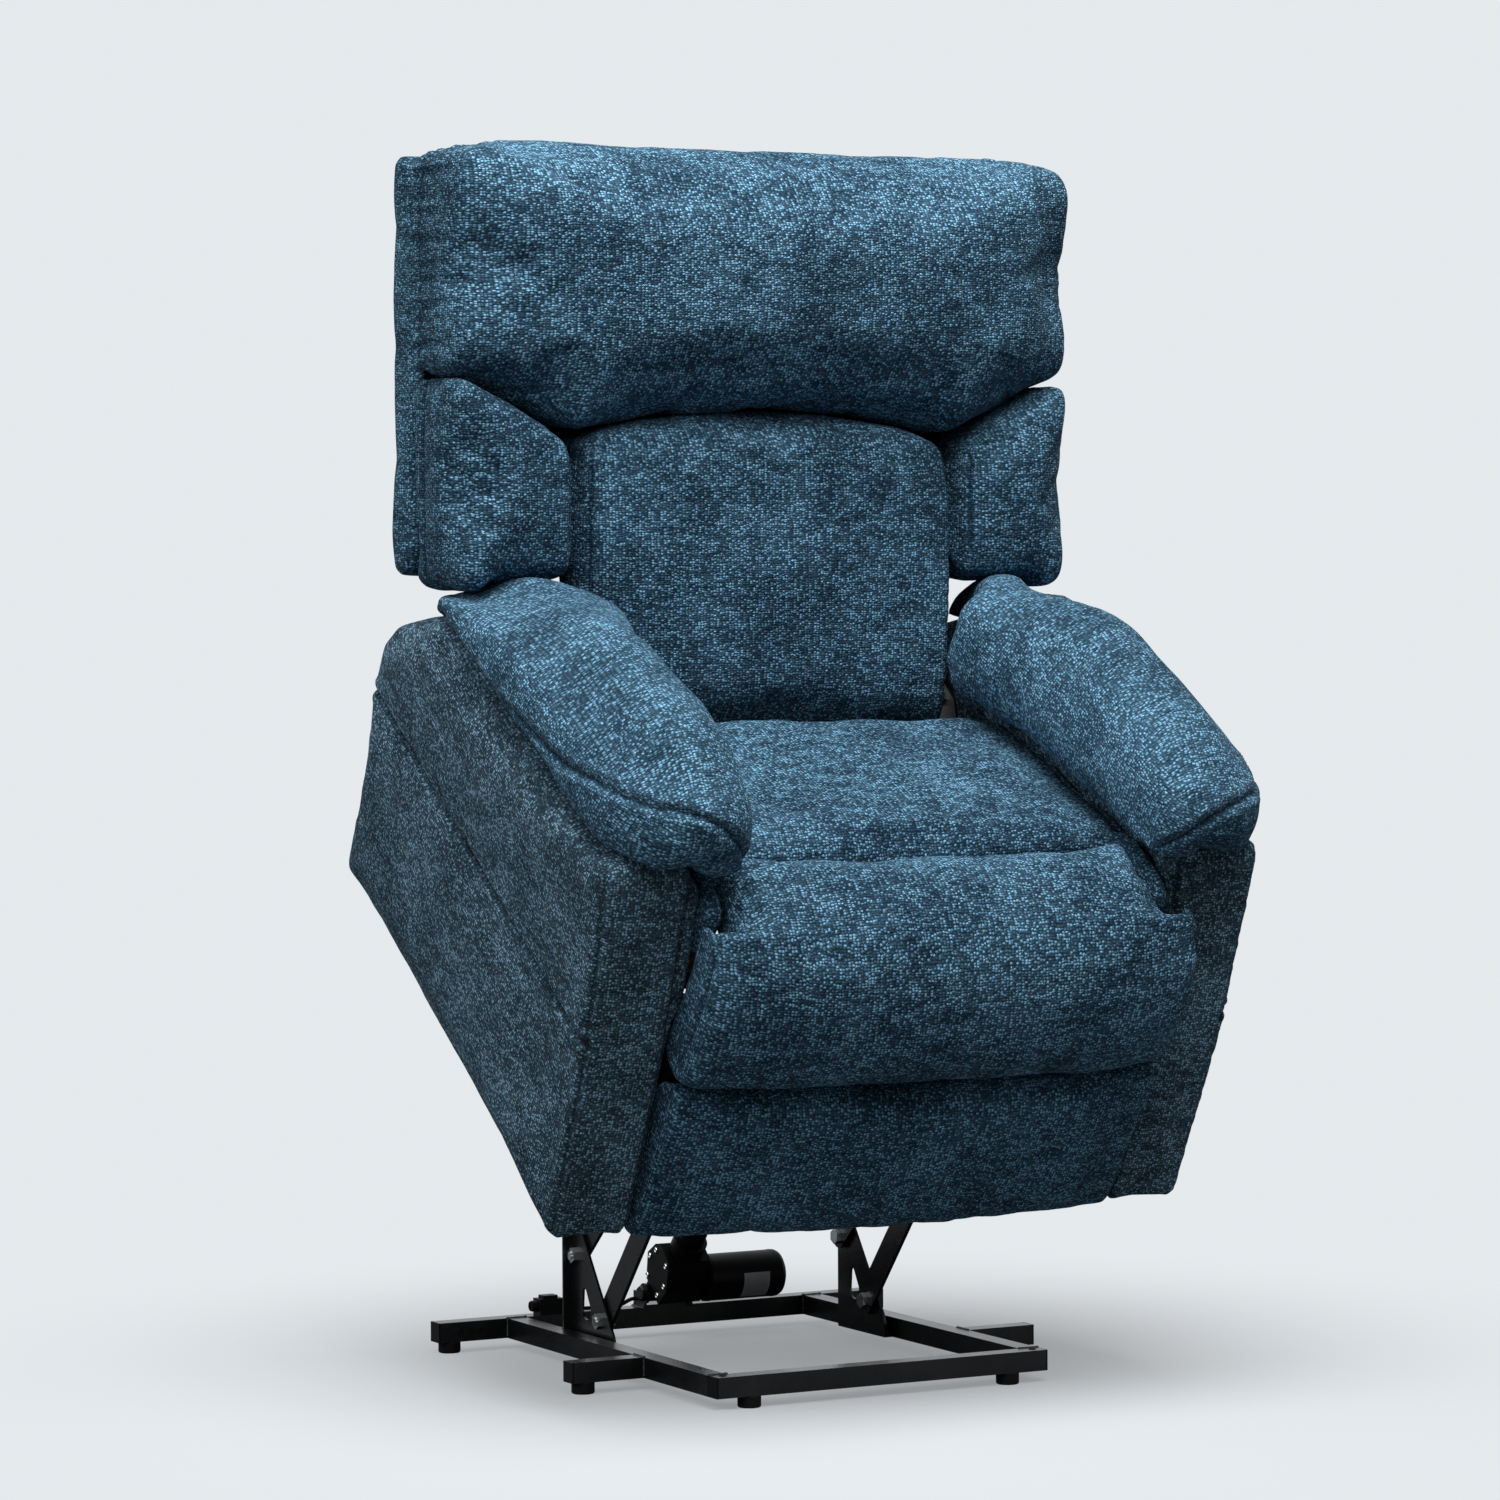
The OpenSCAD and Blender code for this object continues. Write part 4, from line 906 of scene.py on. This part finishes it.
# the kind of each of a piece's seams, by the start of the piece's name
kindOf = {"headPillow": ("gathered", "gathered", "plain"), "wing": ("plain", "plain"),
          "lumbarPad": ("plain", "plain"), "seatPad": ("plain", "plain"),
          "armPanel": ("panel", "edge", "edge"), "armPad": ("pad",),
          "upperLegPad": ("edge", "edge")}
flatPieces = ("armPanel", "rearCover", "lowerBackPanel", "lowerLegPad")
# the broad and the small unevenness: depths in flat pieces and in the others, and their scales
flatDepths, fullDepths, unevenScales = (0.0009, 0.0004), (0.0022, 0.0007), (0.15, 0.05)
stitchLift = 0.0002
stitch = {"Pitch": 0.0058, "Length": 0.0042, "Width": 0.0012, "Height": 0.0010, "Unevenness": 0.2,
          "Material": thread}

stitchRows = {}
for k, (name, s) in enumerate(softPieces.items()):
    obj = made[name]
    refit(name, s)
    depths = flatDepths if name.startswith(flatPieces) else fullDepths
    for depth, scale, seed in zip(depths, unevenScales, (40 + k, 80 + k)):
        crumple(obj, s, depth, scale, seed)
    finer(obj)
    lines = seamLines(obj, s)
    kinds = [seamKinds[kind] for start, all in kindOf.items() if name.startswith(start)
             for kind in all]
    paintSeamShade(obj, lines)
    for j, (line, kind) in enumerate(zip(lines, kinds)):
        groove(obj, line, kind, 9 * k + j)
    confine(name, s)
    for line, kind in zip(lines, kinds):
        for offset in kind["rows"]:
            across = offset if "Right" not in name else -offset
            stitchRows.setdefault(s["body"], []).append(beside(obj.data, line, across, stitchLift))
    clothMap(obj, s["frame"][0])
    obj.data.materials.clear()
    # the arm pads take the painted-light copy of the chenille, the arm panels the painted-sheen
    # copy
    obj.data.materials.append(fabricPadsPaintedLight if name.startswith("armPad") else
                              fabricPanelsPaintedSheen if name.startswith("armPanel") else fabric)
print("soft pieces finished")

for name, s in softPieces.items():
    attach(made[name], s["body"])
    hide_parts(s["node"])
for body, rows in stitchRows.items():
    alongLines("stitches" + body.title().replace("_", ""), rows, stitchTree, stitch, body)
print("stitches sewn")


# ---- small details of the steel and the drive ----
sharpFrom = math.radians(35)


def meshPiece(name, parts, material, body):
    # one piece from several closed lofts, each a list of equally long point rings
    verts, faces = [], []
    for rings in parts:
        k, n = len(verts), len(rings[0])
        for ring in rings:
            verts += [tuple(p) for p in ring]
        for i in range(len(rings) - 1):
            for j in range(n):
                a, b = k + i * n, k + (i + 1) * n
                faces.append((a + j, a + (j + 1) % n, b + (j + 1) % n, b + j))
        last = k + (len(rings) - 1) * n
        faces += [tuple(range(k, k + n)), tuple(range(last, last + n))]
    bm = bmesh.new()
    mesh = bpy.data.meshes.new(name)
    mesh.from_pydata(verts, [], faces)
    bm.from_mesh(mesh)
    bmesh.ops.recalc_face_normals(bm, faces=bm.faces)
    bm.to_mesh(mesh)
    bm.free()
    mesh.polygons.foreach_set("use_smooth", [len(p.vertices) == 4 for p in mesh.polygons])
    mesh.set_sharp_from_angle(angle=sharpFrom)
    obj = newObject(name, mesh)
    mesh.materials.append(material)
    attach(obj, body)
    return obj


def turnedPart(profile, centre, axis, n):
    # rings of n points about an axis; profile is (along, radius) pairs
    axis = Vector(axis).normalized()
    side = axis.orthogonal().normalized()
    other = axis.cross(side)
    return [[Vector(centre) + axis * a + (side * math.cos(t) + other * math.sin(t)) * r
             for t in circle(n)] for a, r in profile]


def middle(node):
    co = points(nodes[node].data)
    return (co.min(0) + co.max(0)) / 2


torqueAt = middle("link_torque_tube")
motorAt = middle("lift_motor")
driveAt = (0.372, 0.058)       # Y and Z of the clevis pin the drive turns on
guideMean = points(nodes["guide_tube"].data).mean(0)
driveTurn = math.atan2(guideMean[2] - driveAt[1], guideMean[1] - driveAt[0])


def drivePoint(x, y, z):
    a, b = turned(y, z, driveTurn)
    return Vector((x, a + driveAt[0], b + driveAt[1]))


# the base tubes' edges where the welds are
railTop, railLow, railIn, railOut = 0.039, 0.017, 0.200, 0.225
frontY, rearY, stubFront, stubRear = -0.168, 0.377, -0.004, 0.021
plateWelds, plateWeld = (0.150, 0.188, 0.228), 0.028    # start and length, under the uprights
torqueRadius, torqueEnd = 0.0126, 0.1812


def weldLines():
    lines = []
    for s in (-1, 1):
        i, o = s * railIn, s * railOut
        # across the top of each joint, then up its sides
        for y in (frontY, rearY):
            lines += [[(i, y, railTop), (o, y, railTop)], [(i, y, railLow), (i, y, railTop)]]
        lines += [[(o, rearY, railLow), (o, rearY, railTop)],
                  [(o, stubFront, railTop), (o, stubRear, railTop)]]
        lines += [[(o, y, railLow), (o, y, railTop)] for y in (stubFront, stubRear)]
        lines += [[(s * 0.2035, 0.259, railTop), (s * 0.2035, 0.262, railTop),
                   (s * 0.193, 0.262, railTop)]]
        lines += [[(i, y, railLow), (i, y + plateWeld, railLow)] for y in plateWelds]
    return lines


def torqueLines():
    ring = [(math.cos(t) * torqueRadius, math.sin(t) * torqueRadius)
            for t in np.linspace(0, 2 * math.pi, 25)]
    return [[(s * torqueEnd, torqueAt[1] + a, torqueAt[2] + b) for a, b in ring] for s in (-1, 1)]


def clevisLines():
    co = points(nodes["actuator_clevis"].data)
    low = co[co[:, 2] < railTop + 0.004]
    y0, y1 = low[:, 1].min(), low[:, 1].max()
    return [[(x, y0, railTop), (x, y1, railTop)] for x in (low[:, 0].min(), low[:, 0].max())]


weld = {"Pitch": 0.0021, "Length": 0.0044, "Width": 0.0052, "Height": 0.0036, "Unevenness": 0.25,
        "Material": powderCoat}
alongLines("weldsBase", weldLines() + clevisLines(), beadTree, weld, "base")
alongLines("weldsTorqueTube", torqueLines(), beadTree, dict(weld, Width=0.0040, Height=0.0030),
           "lower_links")

# plugs in the tubes' drilled holes
plugShape = [(-0.0006, 0.0046), (0.0004, 0.0046), (0.0009, 0.0036), (0.0006, 0.0018)]
plugs = [((-0.211, -0.1805, 0.039), (0, 0, 1)), ((0.211, -0.1805, 0.039), (0, 0, 1)),
         ((-0.290, 0.377, 0.0265), (0, -1, 0)), ((-0.262, 0.377, 0.0265), (0, -1, 0))]
meshPiece("holePlugs", [turnedPart(plugShape, at, axis, 20) for at, axis in plugs], rubber, "base")

# the inlet's round socket with its pin, and the clip that holds the lead
inletAt, outward = (-0.178, 0.3895, 0.0500), (-1, 0, 0)
socketShape = [(-0.004, 0.0070), (0.007, 0.0070), (0.009, 0.0062), (0.009, 0.0040), (0.004, 0.0036)]
pinShape = [(0.000, 0.0012), (0.0082, 0.0012), (0.0088, 0.0006)]
meshPiece("inletSocket", [turnedPart(socketShape, inletAt, outward, 32),
                          turnedPart(pinShape, inletAt, outward, 12)],
          blackPlastic, "base")
leadDiameter, leadY = 0.005, 0.389
leadRoute = [(x, leadY, z) for x, z in (
    (-0.1447, 0.050), (-0.138, 0.050), (-0.128, 0.047), (-0.118, 0.043), (-0.104, 0.042),
    (-0.086, 0.042), (-0.070, 0.042), (-0.058, 0.0435), (-0.049, 0.0475), (-0.042, 0.0496),
    (-0.0351, 0.0496))]


def makeLead(route, diameter):
    line = resampled(route, seamStep)
    along = np.gradient(line, axis=0)
    rings = []
    for p, t in zip(line, along / np.linalg.norm(along, axis=1, keepdims=True)):
        side = np.cross(t, (0, 1, 0))
        side /= np.linalg.norm(side)
        other = np.cross(t, side)
        rings.append([p + (side * math.cos(a) + other * math.sin(a)) * diameter / 2
                      for a in circle(16)])
    lead = meshPiece("motorLead", [rings], rubber, "base")
    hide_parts("motor_lead")


makeLead(leadRoute, leadDiameter)
clipShape = [(-0.0035, 0.0034), (-0.0028, 0.0040), (0.0028, 0.0040), (0.0035, 0.0034)]
meshPiece("leadClip", [turnedPart(clipShape, (-0.070, leadY, 0.0420), (1, 0, 0), 20)], rubber,
          "base")

# the motor: end bands, screws in the gearbox lid and a bare rating plate
bandRadius, bandEdge = 0.0304, 0.0297
motorBands = [turnedPart([(a - 0.0018, bandEdge), (a - 0.0012, bandRadius),
                          (a + 0.0012, bandRadius), (a + 0.0018, bandEdge)],
                         (0, motorAt[1], motorAt[2]), (1, 0, 0), 64) for a in (0.0350, 0.1270)]
meshPiece("motorBands", motorBands, blackPlastic, "lift_drive")
lidX = -0.030
screwShape = [(-0.001, 0.0036), (0.0012, 0.0036), (0.0020, 0.0028), (0.0014, 0.0012)]
lidScrews = [turnedPart(screwShape, drivePoint(lidX, y, z), outward, 18)
             for y, z in ((0.020, -0.014), (0.044, -0.025), (0.062, -0.018), (0.066, 0.014),
                          (0.042, 0.027), (0.020, 0.022))]
meshPiece("lidScrews", lidScrews, zinc, "lift_drive")

plate = Finish("plateSilver", Roughness=0.38, Metallic=0.0)
plate.set("Base Color", plate.mix(plate.noise(plate.place(), 60.0, 3.0, 0.6),
                                  (0.42, 0.43, 0.44, 1), (0.62, 0.63, 0.64, 1)))
plateRadius, plateThick = 0.0302, 0.0005


def ratingPlate(x0, x1, start, end):
    # a thin plate bent round the motor, from x0 to x1 and between two angles in degrees
    def arc(x, radius, angles):
        return [(x, motorAt[1] - radius * math.cos(t), motorAt[2] + radius * math.sin(t))
                for t in angles]
    angles = np.radians(np.linspace(start, end, 20))
    return [arc(x, plateRadius, angles) + arc(x, plateRadius - plateThick, angles[::-1])
            for x in np.linspace(x0, x1, 6)]


meshPiece("ratingPlate", [ratingPlate(0.075, 0.112, -58, 12)], plate.material, "lift_drive")
print("details made")


# ---- room ----
# share is how much of the floor's look near the chair is the backdrop's
room = {"backdrop": (0.787, 0.820, 0.847, 1), "floorSeen": (0.655, 0.68, 0.70, 1),
        "floorUnseen": (0.16, 0.165, 0.17, 1), "share": 0.34, "fadeFrom": 0.28, "fadeTo": 1.25,
        "sky": (0.80, 0.86, 0.92, 1), "skyStrength": 0.15}


def blend(tree, share, first, second, output):
    # two shaders mixed into the tree's output
    mixed = nodeIn(tree, "ShaderNodeMixShader", i0=share, i1=first, i2=second)
    feed(tree, tree.nodes[output].inputs["Surface"], mixed)


def makeFloor(r, half):
    mesh = bpy.data.meshes.new("floor")
    corners = [(-half, -half, 0), (half, -half, 0), (half, half, 0), (-half, half, 0)]
    mesh.from_pydata(corners, [], [(0, 1, 2, 3)])
    floor = newObject("floor", mesh)
    f = Finish("paleFloor", Roughness=0.9, Specular_IOR_Level=0.1)
    byCamera = f.node("ShaderNodeLightPath", out="Is Camera Ray")
    f.set("Base Color", f.mix(byCamera, r["floorUnseen"], r["floorSeen"]))
    # further out the floor passes into the backdrop
    away = f.node("ShaderNodeVectorMath", {"operation": "LENGTH"}, out="Value", i0=f.place())
    glow = f.node("ShaderNodeEmission", Color=r["backdrop"], Strength=1.0)
    far = f.between(away, r["fadeFrom"], r["fadeTo"]) * (1 - r["share"]) + r["share"]
    blend(f.tree, far * byCamera, Wire(f.tree, f.shader.outputs[0]), glow, "Material Output")
    floor.data.materials.append(f.material)


def makeWorld(r):
    world = bpy.data.worlds.new("studio")
    scene.world = world
    world.use_nodes = True
    tree = world.node_tree
    shade = tree.nodes["Background"]
    shade.inputs["Color"].default_value = r["sky"]
    shade.inputs["Strength"].default_value = r["skyStrength"]
    drop = nodeIn(tree, "ShaderNodeBackground", Color=r["backdrop"])
    ray = tree.nodes.new("ShaderNodeLightPath")
    seen = Wire(tree, ray.outputs["Is Camera Ray"])
    for kind in ("Is Glossy Ray", "Is Transmission Ray"):
        seen = seen.math("MAXIMUM", Wire(tree, ray.outputs[kind]))
    blend(tree, seen, Wire(tree, shade.outputs[0]), drop, "World Output")


lamps = {"overhead": dict(place=(-0.3, -0.9, 3.8), size=2.4, power=138, colour=(1.0, 1.0, 1.0)),
         "left": dict(place=(-3.2, -0.4, 2.6), size=1.8, power=38, colour=(0.98, 0.99, 1.0)),
         "front": dict(place=(-0.9, -3.4, 3.9), size=2.2, power=56, colour=(1.0, 1.0, 1.0))}
lampsAim = Vector((0, 0, 0.75))


def makeLamps():
    for name, lamp in lamps.items():
        data = bpy.data.lights.new(name, "AREA")
        data.size = lamp["size"]
        data.energy = lamp["power"]
        data.color = lamp["colour"]
        obj = newObject(name, data)
        at = Vector(lamp["place"])
        turn = (lampsAim - at).to_track_quat("-Z", "Y")
        obj.matrix_world = Matrix.Translation(at) @ turn.to_matrix().to_4x4()


makeFloor(room, 30)
makeWorld(room)
makeLamps()
scene.view_settings.view_transform = "Standard"
print("room and lamps set")
